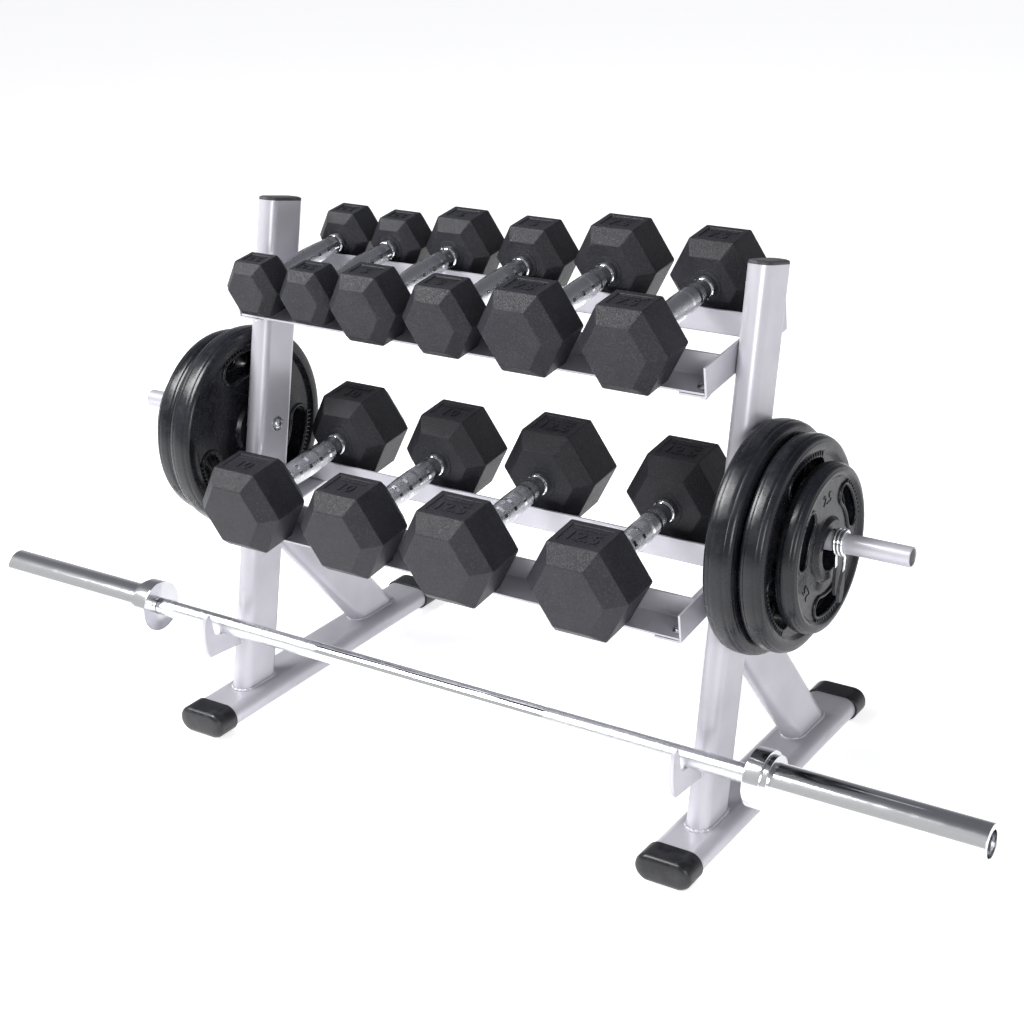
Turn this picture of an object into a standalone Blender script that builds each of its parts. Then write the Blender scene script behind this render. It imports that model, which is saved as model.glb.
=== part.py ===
"""Loaded dumbbell rack: two welded side frames, two sloping shelves, two plate horns and two bar hooks.

The weights that the rack carries are built with it: hex dumbbells, grip plates, spring collars and a barbell.
Metres, +Z up, +X to the right, the rack's front faces -Y.
"""

import math

import bmesh
import bpy
from mathutils import Matrix, Vector

# clearance between two pieces that touch in the real object
GAP = 0.0003

# flat-oval tube used for feet, uprights and braces
TUBE_WIDE = 0.074
TUBE_THIN = 0.033
TUBE_WALL = 0.002

# placing of the rack: the barbell is centred on X = 0, the feet are centred on Y = 0
RACK_SHIFT_X = 0.0135
FOOT_LENGTH = 0.545
SIDE_X = 0.378

CAP_LENGTH = 0.038
CAP_WALL = 0.0028
CAP_DOME = 0.008
FOOT_BOTTOM = CAP_WALL
FOOT_TOP = FOOT_BOTTOM + TUBE_THIN

LEAN = math.radians(11.6)
UPRIGHT_Y = 0.1146
UPRIGHT_TOP = 0.729

BRACE_ANGLE = math.radians(50.0)
BRACE_TOP_Y = 0.178
BRACE_TOP_Z = 0.310

# shelves: position of the bracket's lower front corner and slope
SHELF_SLOPE = math.radians(7.0)
SHELF_ORIGINS = {"top": (0.1405, 0.5918), "low": (0.0820, 0.2955)}
BRACKET_LENGTH = 0.218
BRACKET_WEB = 0.040
BRACKET_FLANGE = 0.038
SHEET = 0.003
BRACKET_X = SIDE_X - TUBE_THIN / 2 - GAP
RAIL_END_X = BRACKET_X - SHEET - 0.0005
RAIL_BASE = SHEET + GAP
RAIL_HEIGHT = 0.034
RAIL_DEPTH = 0.0475
FRONT_RAIL = 0.001
REAR_RAIL = 0.169
BOLT_X = BRACKET_X - 0.0137
BOLT_FRONT = 0.019
BOLT_REAR = 0.196
FLOOR = RAIL_BASE + SHEET

# plate horns
HORN_Z = 0.418
HORN_R = 0.0125
HORN_BORE = 0.0105
HORN_TIP = 0.603
HORN_START = SIDE_X + TUBE_THIN / 2 + GAP

# dumbbells: across-corner radius, width of the full hexagon, depth of each chamfer, handle length, handle radius
DUMBBELL_SIZES = {
    "2.5": (0.0445, 0.036, 0.0140, 0.142, 0.0125),
    "5": (0.0545, 0.043, 0.0170, 0.144, 0.0135),
    "7.5": (0.0627, 0.049, 0.0195, 0.144, 0.0140),
    "10": (0.0690, 0.055, 0.0205, 0.148, 0.0145),
    "12.5": (0.0735, 0.059, 0.0215, 0.148, 0.0145),
}
DUMBBELLS = {
    "top": [("2.5", -0.3190), ("2.5", -0.2270), ("5", -0.1240), ("5", -0.0060), ("7.5", 0.1240), ("7.5", 0.2680)],
    "low": [("10", -0.2940), ("10", -0.1200), ("12.5", 0.0510), ("12.5", 0.2450)],
}
DUMBBELL_CENTRE = 0.110
FACE_RATIO = 0.69
RING_RATIO = 1.10

# plates: radius, thickness, distance of the inner face from the rack's centre
PLATES = {"large": (0.1470, 0.040, 0.3985), "medium": (0.1360, 0.033, 0.4395), "small": (0.1060, 0.027, 0.4735)}
PLATE_BORE = 0.0255

PLATE_TURN = {"large": 93, "medium": 93, "small": 33}
COLLAR_START = 0.5035
COLLAR_WIRE = 0.002

# barbell
BAR_Y = 0.067
BAR_Z = 0.1516
BAR_R = 0.0125
BAR_HALF = 0.780
SLEEVE_R = 0.025
FLANGE_R = 0.0375
FLANGE_X = 0.483
FLANGE_WIDTH = 0.030
JOURNAL_R = 0.0107
BUSH_R = 0.0110


# ---------------------------------------------------------------- meshes

def circle(radius, count):
    """Points of a circle, counter-clockwise from the first axis."""
    return [(radius * math.cos(2 * math.pi * i / count), radius * math.sin(2 * math.pi * i / count))
            for i in range(count)]


def hexagon(radius, count):
    """Points spread evenly over the six sides of a hexagon with corners on the first axis."""
    per_side = count // 6
    corners = circle(radius, 6)
    points = []
    for k in range(6):
        ax, ay = corners[k]
        bx, by = corners[(k + 1) % 6]
        for j in range(per_side):
            t = j / per_side
            points.append((ax + (bx - ax) * t, ay + (by - ay) * t))
    return points


def obround(wide, thin, count=14):
    """Flat oval, the long way along the second axis."""
    half = (wide - thin) / 2
    radius = thin / 2
    per_end = count // 2
    points = []
    for end in (0, 1):
        for i in range(per_end):
            angle = math.pi * (end + i / (per_end - 1))
            shift = half if end == 0 else -half
            points.append((radius * math.cos(angle), radius * math.sin(angle) + shift))
    return points


def place(points, origin, first, second):
    """Put flat points in space with the given pair of axes."""
    origin, first, second = Vector(origin), Vector(first), Vector(second)
    return [origin + first * u + second * v for u, v in points]


def loft(rings, closed=False):
    """Skin equal rings into one closed mesh. A closed loft joins the last ring to the first, as in a tube."""
    mesh = bmesh.new()
    rows = [[mesh.verts.new(p) for p in ring] for ring in rings]
    count = len(rows[0])
    pairs = list(zip(rows, rows[1:]))
    if closed:
        pairs.append((rows[-1], rows[0]))
    for low, high in pairs:
        for i in range(count):
            j = (i + 1) % count
            mesh.faces.new((low[i], low[j], high[j], high[i]))
    if not closed:
        mesh.faces.new(list(reversed(rows[0])))
        mesh.faces.new(rows[-1])
    bmesh.ops.recalc_face_normals(mesh, faces=mesh.faces)
    return mesh


def lathe(profile, count, axis="X", closed=False, direction=1):
    """Turn (radius, distance) pairs about a local axis; "hex" in a pair makes that ring a hexagon."""
    frames = {"X": ((1, 0, 0), (0, 1, 0), (0, 0, 1)), "Y": ((0, 1, 0), (1, 0, 0), (0, 0, 1)),
              "Z": ((0, 0, 1), (1, 0, 0), (0, 1, 0))}
    along, first, second = (Vector(v) for v in frames[axis])
    rings = []
    for entry in profile:
        shape = hexagon if len(entry) == 3 else circle
        rings.append(place(shape(entry[0], count), along * (entry[1] * direction), first, second))
    return loft(rings, closed)


def prism(outline, origin, first, second, along):
    """Extrude a flat outline."""
    along = Vector(along)
    near = place(outline, origin, first, second)
    return loft([near, [p + along for p in near]])


def wire(points, sizes, count=6):
    """Sweep an oval section, given as two half-widths per point, along a path about the local X axis."""
    rings = []
    for i, point in enumerate(points):
        before = points[max(i - 1, 0)]
        after = points[min(i + 1, len(points) - 1)]
        tangent = (after - before).normalized()
        side = Vector((1, 0, 0))
        side = (side - tangent * side.dot(tangent)).normalized()
        up = tangent.cross(side)
        wide, thick = sizes[i]
        section = [(u * wide, v * thick) for u, v in circle(1.0, count)]
        rings.append(place(section, point, side, up))
    return loft(rings)


# ---------------------------------------------------------------- objects

def make_material(name, color, metallic, roughness):
    material = bpy.data.materials.new(name)
    material.use_nodes = True
    shader = material.node_tree.nodes["Principled BSDF"]
    shader.inputs["Base Color"].default_value = (*color, 1.0)
    shader.inputs["Metallic"].default_value = metallic
    shader.inputs["Roughness"].default_value = roughness
    return material


FINISHES = {
    "frame_paint": ((0.62, 0.61, 0.66), 0.1, 0.35),
    "cap_rubber": ((0.02, 0.02, 0.022), 0.0, 0.5),
    "plug_plastic": ((0.06, 0.06, 0.065), 0.0, 0.45),
    "zinc": ((0.62, 0.62, 0.64), 1.0, 0.35),
    "head_rubber": ((0.035, 0.035, 0.037), 0.0, 0.7),
    "plate_rubber": ((0.02, 0.02, 0.022), 0.0, 0.4),
    "chrome": ((0.75, 0.76, 0.78), 1.0, 0.12),
}


def make_node(name, mesh, finish, parent, location=(0, 0, 0), smooth=True):
    """Turn a bmesh into one named object; edges sharper than a round section's stay crisp."""
    data = bpy.data.meshes.new(name)
    mesh.to_mesh(data)
    mesh.free()
    node = bpy.data.objects.new(name, data)
    bpy.context.scene.collection.objects.link(node)
    node.parent = parent
    node.location = location
    material = make_material(name + "_" + finish, *FINISHES[finish])
    data.materials.append(material)
    if smooth:
        data.shade_smooth()
        data.set_sharp_from_angle(angle=math.radians(38))
    return node


def make_frame(name, parent, location, tilt=0.0):
    """An empty that carries a group of parts, turned about X."""
    empty = bpy.data.objects.new(name, None)
    bpy.context.scene.collection.objects.link(empty)
    empty.parent = parent
    empty.location = location
    empty.rotation_euler = (tilt, 0, 0)
    return empty


def cut(node, cutter_mesh, name, location=(0, 0, 0)):
    """Subtract a hidden cutter that sits in the same parent frame."""
    data = bpy.data.meshes.new(name)
    cutter_mesh.to_mesh(data)
    cutter_mesh.free()
    cutter = bpy.data.objects.new(name, data)
    bpy.context.scene.collection.objects.link(cutter)
    cutter.parent = node.parent
    cutter.location = location
    cutter.display_type = "WIRE"
    cutter.hide_render = True
    modifier = node.modifiers.new(name, "BOOLEAN")
    modifier.operation = "DIFFERENCE"
    modifier.solver = "EXACT"
    modifier.object = cutter
    return cutter


# ---------------------------------------------------------------- side frames

def upright_axis():
    return Vector((0, math.sin(LEAN), math.cos(LEAN)))


def upright_back():
    return Vector((0, math.cos(LEAN), -math.sin(LEAN)))


def upright_point(z):
    """Point of the upright's centre line at a height."""
    return Vector((0, UPRIGHT_Y + z * math.tan(LEAN), z))


def mitred_ring(outline, base, first, second, along, plane_point, plane_normal):
    """Outline swept along an axis until it meets a plane."""
    ring = []
    for point in place(outline, base, first, second):
        distance = (plane_point - point).dot(plane_normal) / along.dot(plane_normal)
        ring.append(point + along * distance)
    return ring


def mitred_tube(base, second, along, start, end):
    """Hollow flat-oval tube between two planes, each given as a point and a normal."""
    outer = obround(TUBE_WIDE, TUBE_THIN)
    inner = obround(TUBE_WIDE - 2 * TUBE_WALL, TUBE_THIN - 2 * TUBE_WALL)
    first = Vector((1, 0, 0))
    rings = [mitred_ring(outline, base, first, second, along, *plane)
             for outline, plane in ((outer, start), (outer, end), (inner, end), (inner, start))]
    return loft(rings, closed=True)


def build_foot(side, x, rack):
    centre_z = FOOT_BOTTOM + TUBE_THIN / 2
    inset = CAP_DOME * 0.7 + GAP
    rings = []
    for wide, thin, y in ((TUBE_WIDE, TUBE_THIN, inset), (TUBE_WIDE, TUBE_THIN, FOOT_LENGTH - inset),
                          (TUBE_WIDE - 2 * TUBE_WALL, TUBE_THIN - 2 * TUBE_WALL, FOOT_LENGTH - inset),
                          (TUBE_WIDE - 2 * TUBE_WALL, TUBE_THIN - 2 * TUBE_WALL, inset)):
        rings.append(place(obround(wide, thin), (0, y, 0), (0, 0, 1), (1, 0, 0)))
    make_node("foot_tube_" + side, loft(rings, closed=True), "frame_paint", rack, (x, 0, centre_z))
    for end, y, facing in (("front", 0.0, 1), ("rear", FOOT_LENGTH, -1)):
        build_foot_cap("foot_cap_" + end + "_" + side, (x, y, centre_z), facing, rack)


def build_foot_cap(name, location, facing, rack):
    """Rubber cup with a rounded end that sleeves over the foot tube."""
    wide = TUBE_WIDE + 2 * CAP_WALL
    thin = TUBE_THIN + 2 * CAP_WALL
    cavity = CAP_DOME * 0.7
    steps = [(0.0, 0.013), (0.0012, 0.0070), (0.0035, 0.0030), (CAP_DOME, 0.0)]
    rings = []
    for y, inset in steps:
        rings.append(place(obround(wide - 2 * inset, thin - 2 * inset), (0, y * facing, 0), (0, 0, 1), (1, 0, 0)))
    rings.append(place(obround(wide, thin), (0, CAP_LENGTH * facing, 0), (0, 0, 1), (1, 0, 0)))
    for y in (CAP_LENGTH, cavity):
        hollow = obround(TUBE_WIDE + 2 * GAP, TUBE_THIN + 2 * GAP)
        rings.append(place(hollow, (0, y * facing, 0), (0, 0, 1), (1, 0, 0)))
    make_node(name, loft(rings), "cap_rubber", rack, location)


def build_upright(side, x, rack):
    foot_plane = (Vector((0, 0, FOOT_TOP + GAP)), Vector((0, 0, 1)))
    top_plane = (upright_point(UPRIGHT_TOP), upright_axis())
    mesh = mitred_tube(upright_point(0), upright_back(), upright_axis(), foot_plane, top_plane)
    upright = make_node("upright_" + side, mesh, "frame_paint", rack, (x, 0, 0))
    hole = lathe([(0.0056, -0.03), (0.0056, 0.03)], 12)
    cut(upright, hole, "bolt_hole_" + side, (x, upright_point(HORN_Z).y, HORN_Z))
    build_upright_cap(side, x, rack)


def build_upright_cap(side, x, rack):
    """Oval plug with a low dome, pressed into the upright's open top."""
    frame = make_frame("upright_top_" + side, rack, Vector((x, 0, 0)) + upright_point(UPRIGHT_TOP), -LEAN)
    plug_wide = TUBE_WIDE - 2 * TUBE_WALL - 2 * GAP
    plug_thin = TUBE_THIN - 2 * TUBE_WALL - 2 * GAP
    sections = [(plug_wide, plug_thin, -0.014), (plug_wide, plug_thin, GAP), (TUBE_WIDE, TUBE_THIN, GAP),
                (TUBE_WIDE, TUBE_THIN, 0.0025), (TUBE_WIDE - 0.006, TUBE_THIN - 0.006, 0.0045),
                (TUBE_WIDE - 0.018, TUBE_THIN - 0.018, 0.0056)]
    rings = [place(obround(wide, thin), (0, 0, z), (1, 0, 0), (0, 1, 0)) for wide, thin, z in sections]
    make_node("upright_cap_" + side, loft(rings), "plug_plastic", frame)


def build_brace(side, x, rack):
    """Rear brace, coped around the back of the upright and cut flat on the foot."""
    along = Vector((0, math.cos(BRACE_ANGLE), -math.sin(BRACE_ANGLE)))
    across = Vector((0, math.sin(BRACE_ANGLE), math.cos(BRACE_ANGLE)))
    top = Vector((0, BRACE_TOP_Y, BRACE_TOP_Z)) - along * 0.010
    start = (top, along)
    end = (Vector((0, 0, FOOT_TOP + GAP)), Vector((0, 0, 1)))
    brace = make_node("rear_brace_" + side, mitred_tube(top, across, along, start, end), "frame_paint", rack, (x, 0, 0))
    outline = obround(TUBE_WIDE + 2 * GAP, TUBE_THIN + 4 * GAP)
    base = upright_point(0.10)
    cope = prism(outline, base, (1, 0, 0), upright_back(), upright_axis() * 0.40)
    cut(brace, cope, "brace_cope_" + side, (x, 0, 0))


def build_hook(side, x, rack):
    """Flat J-hook for the bar, standing on the front of the upright."""
    def front(z):
        return upright_point(z).y - TUBE_WIDE / 2 / math.cos(LEAN) - 0.0004

    seat = BAR_Z - BAR_R - GAP
    outline = [(front(0.106), 0.106), (0.0330, 0.1115), (0.0290, 0.1200), (0.0270, 0.1350), (0.0268, 0.1520),
               (0.0285, 0.1670), (0.0330, 0.1760), (0.0375, 0.1780), (0.0412, 0.1755), (0.0440, 0.1600),
               (0.0462, 0.1480), (0.0490, seat + 0.0035), (0.0540, seat), (front(seat), seat)]
    mesh = prism(outline, (-0.003, 0, 0), (0, 1, 0), (0, 0, 1), (0.006, 0, 0))
    make_node("bar_hook_" + side, mesh, "frame_paint", rack, (x, 0, 0))


def build_horn(side, sign, rack):
    """Plate horn: tube with a bored foot, its end plug and the bolt that holds it through the upright."""
    y = upright_point(HORN_Z).y
    length = HORN_TIP - HORN_START
    location = (sign * HORN_START, y, HORN_Z)
    tube = [(0.0056, 0.0), (HORN_R, 0.0), (HORN_R, length), (HORN_BORE, length), (HORN_BORE, 0.014), (0.0056, 0.014)]
    make_node("horn_" + side, lathe(tube, 16, closed=True, direction=sign), "frame_paint", rack, location)
    plug = [(HORN_BORE - GAP, length - 0.012), (HORN_BORE - GAP, length - 0.0020), (HORN_BORE - GAP - 0.0012, length - 0.0008)]
    make_node("horn_plug_" + side, lathe(plug, 16, direction=sign), "plug_plastic", rack, location)
    face = -TUBE_THIN - 2 * GAP
    bolt = [(0.0050, face - 0.0060), (0.0080, face - 0.0016), (0.0105, face - 0.0015), (0.0105, face),
            (0.0050, face), (0.0050, 0.0120)]
    make_node("horn_bolt_" + side, lathe(bolt, 12, direction=sign), "zinc", rack, location)


# ---------------------------------------------------------------- shelves

def angle_outline(flange, web):
    """Outline of an L section: floor along the first axis, upright leg at the origin along the second."""
    return [(0, 0), (flange, 0), (flange, SHEET), (SHEET, SHEET), (SHEET, web), (0, web)]


def build_bracket(level, side, sign, shelf):
    outline = angle_outline(BRACKET_FLANGE, BRACKET_WEB)
    mesh = prism(outline, (0, 0, 0), (-sign, 0, 0), (0, 0, 1), (0, BRACKET_LENGTH, 0))
    bracket = make_node(level + "_bracket_" + side, mesh, "frame_paint", shelf, (sign * BRACKET_X, 0, 0))
    for end, y in (("front", BOLT_FRONT), ("rear", BOLT_REAR)):
        hole = lathe([(0.0044, -0.004), (0.0044, 0.009)], 8, axis="Z")
        cut(bracket, hole, level + "_bracket_hole_" + end + "_" + side, (sign * BOLT_X, y, 0))


def build_rail(level, end, leg_y, facing, bolt_y, shelf):
    """Angle rail across the rack. Its upright leg stops the dumbbell heads from sliding inwards."""
    outline = angle_outline(RAIL_DEPTH, RAIL_HEIGHT)
    mesh = prism(outline, (-RAIL_END_X, 0, 0), (0, facing, 0), (0, 0, 1), (2 * RAIL_END_X, 0, 0))
    rail = make_node(level + "_" + end + "_rail", mesh, "frame_paint", shelf, (0, leg_y, RAIL_BASE))
    for side, sign in (("left", -1), ("right", 1)):
        hole = lathe([(0.0044, -0.004), (0.0044, 0.009)], 8, axis="Z")
        cut(rail, hole, level + "_rail_hole_" + end + "_" + side, (sign * BOLT_X, bolt_y, RAIL_BASE))
        build_rail_bolt(level + "_bolt_" + end + "_" + side, (sign * BOLT_X, bolt_y, 0), shelf)


def build_rail_bolt(name, location, shelf):
    """Domed bolt with its nut screwed up under the bracket."""
    seat = FLOOR + GAP
    profile = [(0.0050, seat + 0.0042), (0.0080, seat), (0.0038, seat), (0.0038, -GAP), (0.0075, -GAP, "hex"),
               (0.0075, -0.0068, "hex"), (0.0038, -0.0068), (0.0038, -0.0100)]
    make_node(name, lathe(profile, 12, axis="Z"), "zinc", shelf, location)


def build_shelf(level, rack):
    y, z = SHELF_ORIGINS[level]
    shelf = make_frame("shelf_" + level, rack, (0, y, z), SHELF_SLOPE)
    for side, sign in (("left", -1), ("right", 1)):
        build_bracket(level, side, sign, shelf)
    build_rail(level, "front", FRONT_RAIL + RAIL_DEPTH, -1, BOLT_FRONT, shelf)
    build_rail(level, "rear", REAR_RAIL, 1, BOLT_REAR, shelf)
    for number, (size, x) in enumerate(DUMBBELLS[level], start=1):
        build_dumbbell("dumbbell_" + level + "_" + str(number), size, x, shelf)


def build_dumbbell(name, size, x, shelf):
    """Hex dumbbell lying front to back: two chamfered hexagonal heads and a bulged handle.

    Large heads stand on the rail floors; on the small ones the handle's end rings bear on the rails' upright legs.
    """
    radius, width, chamfer, handle, grip = DUMBBELL_SIZES[size]
    face = radius * FACE_RATIO
    inner = handle / 2
    half = [(grip * 1.16, 0.0), (grip * 0.98, inner - 0.018), (grip * RING_RATIO, inner - 0.015),
            (grip * RING_RATIO, inner), (face, inner, "hex"), (radius, inner + chamfer, "hex"),
            (radius, inner + chamfer + width, "hex"), (face, inner + 2 * chamfer + width, "hex")]
    profile = [(entry[0], -entry[1], *entry[2:]) for entry in reversed(half)] + half[1:]
    on_floor = FLOOR + GAP + radius * math.sqrt(3) / 2
    on_rail_legs = RAIL_BASE + RAIL_HEIGHT + GAP + grip * RING_RATIO
    height = max(on_floor, on_rail_legs)
    make_node(name, lathe(profile, 12, axis="Y"), "head_rubber", shelf, (x, DUMBBELL_CENTRE, height))


# ---------------------------------------------------------------- plates and collars

def grip_outline(inner, outer, spread, middle, count=5):
    """Kidney-shaped finger hole between two radii."""
    points = []
    for radius, sign in ((outer, 1), (inner, -1)):
        for i in range(count):
            angle = middle + sign * spread * (2 * i / (count - 1) - 1)
            points.append((radius * math.cos(angle), radius * math.sin(angle)))
    return points


def build_plate(size, side, sign, rack):
    """Grip plate hanging on its horn, the bore's top resting on the horn."""
    radius, thickness, start = PLATES[size]
    y = upright_point(HORN_Z).y
    drop = PLATE_BORE - HORN_R - GAP
    hub = PLATE_BORE + 0.012
    groove = 0.006
    rim = radius * 0.84
    profile = [(PLATE_BORE, 0.0), (hub, 0.0), (hub + 0.004, groove), (rim, groove), (rim + 0.005, 0.0),
               (radius - 0.002, 0.0), (radius, thickness / 2), (radius - 0.002, thickness), (rim + 0.005, thickness),
               (rim, thickness - groove), (hub + 0.004, thickness - groove), (hub, thickness), (PLATE_BORE, thickness)]
    location = (sign * start, y, HORN_Z - drop)
    plate = make_node("plate_" + size + "_" + side, lathe(profile, 24, closed=True, direction=sign),
                      "plate_rubber", rack, location)
    for number in range(3):
        middle = math.radians(PLATE_TURN[size] + 120 * number)
        outline = grip_outline(radius * 0.56, radius * 0.80, math.radians(25), middle)
        cutter = prism(outline, (-0.01, 0, 0), (0, 1, 0), (0, 0, 1), (thickness + 0.02, 0, 0))
        if sign < 0:
            cutter.transform(Matrix.Translation((-thickness, 0, 0)))
        cut(plate, cutter, "grip_hole_" + size + "_" + side + "_" + str(number + 1), location)


def build_collar(side, sign, rack):
    """Spring collar: a wire coil on the horn with two flattened grips hanging down."""
    y = upright_point(HORN_Z).y
    coil_r = HORN_R + COLLAR_WIRE + 0.0004
    pitch = 2 * COLLAR_WIRE + 0.0006
    first, last = math.radians(-75), math.radians(-115 + 3 * 360)
    steps = 30
    grip = [(0.0100, 0.0020), (0.0180, 0.0024), (0.0350, 0.0052), (0.0500, 0.0074), (0.0580, 0.0045)]

    def spot(radius, angle, x):
        return Vector((x, radius * math.cos(angle), radius * math.sin(angle)))

    points, sizes = [], []
    for reach, half in reversed(grip):
        points.append(spot(coil_r + reach, first - math.radians(12), 0.0))
        sizes.append((half * 0.45 if reach > 0.015 else half, half))
    for i in range(steps + 1):
        share = i / steps
        points.append(spot(coil_r, first + (last - first) * share, pitch * (last - first) * share / (2 * math.pi)))
        sizes.append((COLLAR_WIRE, COLLAR_WIRE))
    for reach, half in grip:
        points.append(spot(coil_r + reach, last + math.radians(12), pitch * (last - first) / (2 * math.pi)))
        sizes.append((half * 0.45 if reach > 0.015 else half, half))
    mesh = wire(points, sizes)
    if sign < 0:
        mesh.transform(Matrix.Scale(-1, 4, (1, 0, 0)))
        bmesh.ops.reverse_faces(mesh, faces=mesh.faces)
    make_node("spring_collar_" + side, mesh, "chrome", rack, (sign * (COLLAR_START + 0.0025), y, HORN_Z))


# ---------------------------------------------------------------- barbell

def build_barbell(bar):
    """Bar with a turning sleeve at each end; a bolt in each end of the bar keeps the sleeve on."""
    shaft_half = [(BAR_R, 0.0), (BAR_R, FLANGE_X - 0.001), (JOURNAL_R, FLANGE_X - 0.001), (JOURNAL_R, BAR_HALF - 0.018),
                  (0.0043, BAR_HALF - 0.018), (0.0043, BAR_HALF - 0.034)]
    profile = [(r, -x) for r, x in reversed(shaft_half)] + shaft_half[1:]
    make_node("bar_shaft", lathe(profile, 20), "chrome", bar)
    for side, sign in (("left", -1), ("right", 1)):
        flange_end = FLANGE_X + FLANGE_WIDTH
        sleeve = [(BUSH_R, FLANGE_X), (FLANGE_R - 0.002, FLANGE_X), (FLANGE_R, FLANGE_X + 0.002),
                  (FLANGE_R, flange_end - 0.008), (FLANGE_R - 0.004, flange_end - 0.006), (FLANGE_R - 0.004, flange_end),
                  (SLEEVE_R, flange_end), (SLEEVE_R, BAR_HALF - 0.0015), (SLEEVE_R - 0.0015, BAR_HALF),
                  (0.0170, BAR_HALF), (0.0170, BAR_HALF - 0.0175), (BUSH_R, BAR_HALF - 0.0175)]
        make_node("bar_sleeve_" + side, lathe(sleeve, 24, closed=True, direction=sign), "chrome", bar)
        bolt = [(0.0040, BAR_HALF - 0.0330), (0.0040, BAR_HALF - 0.0172), (0.0145, BAR_HALF - 0.0172),
                (0.0145, BAR_HALF - 0.0150), (0.0085, BAR_HALF - 0.0149, "hex"), (0.0085, BAR_HALF - 0.0080, "hex")]
        make_node("sleeve_bolt_" + side, lathe(bolt, 12, direction=sign), "zinc", bar)


# ---------------------------------------------------------------- assembly

def clear_scene():
    for item in list(bpy.data.objects):
        bpy.data.objects.remove(item, do_unlink=True)


def build():
    clear_scene()
    rack = make_frame("rack_frame", None, (RACK_SHIFT_X, -FOOT_LENGTH / 2, 0))
    for side, sign in (("left", -1), ("right", 1)):
        x = sign * SIDE_X
        build_foot(side, x, rack)
        build_upright(side, x, rack)
        build_brace(side, x, rack)
        build_hook(side, x, rack)
        build_horn(side, sign, rack)
        build_collar(side, sign, rack)
        for size in PLATES:
            build_plate(size, side, sign, rack)
    for level in SHELF_ORIGINS:
        build_shelf(level, rack)
    bar = make_frame("bar_frame", None, (0, BAR_Y - FOOT_LENGTH / 2, BAR_Z))
    build_barbell(bar)


build()
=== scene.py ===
"""Looks of a loaded dumbbell rack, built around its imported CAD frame.

Every sub-assembly is a class with its sizes as fields; each piece lies in the shared frame, in metres, and rides on
the CAD body that it belongs to.
"""

from __future__ import annotations

import logging
import math
from dataclasses import dataclass
from enum import Enum
from functools import reduce
from typing import Iterable, Iterator, Sequence

import bmesh
import bpy
from mathutils import Matrix, Vector


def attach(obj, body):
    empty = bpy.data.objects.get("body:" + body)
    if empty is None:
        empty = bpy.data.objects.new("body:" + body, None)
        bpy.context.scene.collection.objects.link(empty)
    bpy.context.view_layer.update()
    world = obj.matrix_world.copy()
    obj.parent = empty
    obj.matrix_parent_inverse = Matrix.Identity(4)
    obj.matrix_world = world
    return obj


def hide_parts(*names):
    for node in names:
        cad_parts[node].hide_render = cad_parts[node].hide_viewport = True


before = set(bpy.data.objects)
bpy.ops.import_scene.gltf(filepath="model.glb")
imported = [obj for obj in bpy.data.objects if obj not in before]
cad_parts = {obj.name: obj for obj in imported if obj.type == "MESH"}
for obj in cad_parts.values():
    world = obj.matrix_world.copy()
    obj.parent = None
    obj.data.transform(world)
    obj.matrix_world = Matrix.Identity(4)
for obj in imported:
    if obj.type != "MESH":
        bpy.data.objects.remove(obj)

log = logging.getLogger("dumbbell_rack")

Colour = tuple[float, float, float]
Mesh = bmesh.types.BMesh
Material = bpy.types.Material
shift = Matrix.Translation

ORIGIN = Vector((0.0135, -0.2725, 0.0))
SIDE_X = 0.378
LEAN = math.radians(11.6)
SLOPE = math.radians(7.0)
TUBE_WIDE = 0.074
TUBE_THIN = 0.033
FOOT_TOP = 0.0358
UP = Vector((0.0, math.sin(LEAN), math.cos(LEAN)))
BACK = Vector((0.0, math.cos(LEAN), -math.sin(LEAN)))
HORN_Z = 0.418
HORN_R = 0.0125
FINE, CRISP, SOFT = 35.0, 50.0, 60.0


class Side(Enum):
    """The two ends of the rack, with the sign of X on which they lie."""

    LEFT = -1
    RIGHT = 1

    @property
    def word(self) -> str:
        """Name of the side as the CAD nodes spell it."""
        return self.name.lower()


class Level(Enum):
    """The two shelves: lower front corner of the end brackets, as depth and height."""

    TOP = (0.1405, 0.5918)
    LOW = (0.0820, 0.2955)

    @property
    def word(self) -> str:
        """Name of the shelf as the CAD nodes spell it."""
        return self.name.lower()

    def place(self, x: float = 0.0, depth: float = 0.0, height: float = 0.0) -> Matrix:
        """Matrix from a point of the sloping shelf to the shared frame.

        Args:
            x: distance from the rack's middle.
            depth: distance up the slope from the bracket's front end.
            height: distance at right angles to the shelf.

        Returns:
            The placing matrix.
        """
        base = shift(ORIGIN + Vector((0.0, *self.value))) @ Matrix.Rotation(SLOPE, 4, "X")
        return base @ shift((x, depth, height))


def spun(axis: str, degrees: float, size: int = 4) -> Matrix:
    """Matrix of a turn about an axis."""
    return Matrix.Rotation(math.radians(degrees), size, axis)


def flip(sign: int) -> Matrix:
    """Matrix that mirrors in X when the sign is negative."""
    return Matrix.Scale(sign, 4, (1, 0, 0))


def level_of(face: bmesh.types.BMFace) -> float:
    """Height of a face's centre."""
    return face.calc_center_median().z


def upright_point(height: float) -> Vector:
    """Point of an upright's centre line, seen from the rack's own origin.

    Args:
        height: height above the floor.

    Returns:
        The point, with X left at zero.
    """
    return Vector((0.0, 0.1146 + height * math.tan(LEAN), height))


def on_horn(side: Side, along: float, drop: float = 0.0) -> Matrix:
    """Matrix of a place on a side's horn, its X axis pointing outwards.

    Args:
        side: the rack's end.
        along: distance from the rack's middle.
        drop: how far below the horn's axis.

    Returns:
        The placing matrix.
    """
    return shift(ORIGIN + Vector((side.value * along, upright_point(HORN_Z).y, HORN_Z - drop))) @ flip(side.value)


# ---- shading


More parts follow.
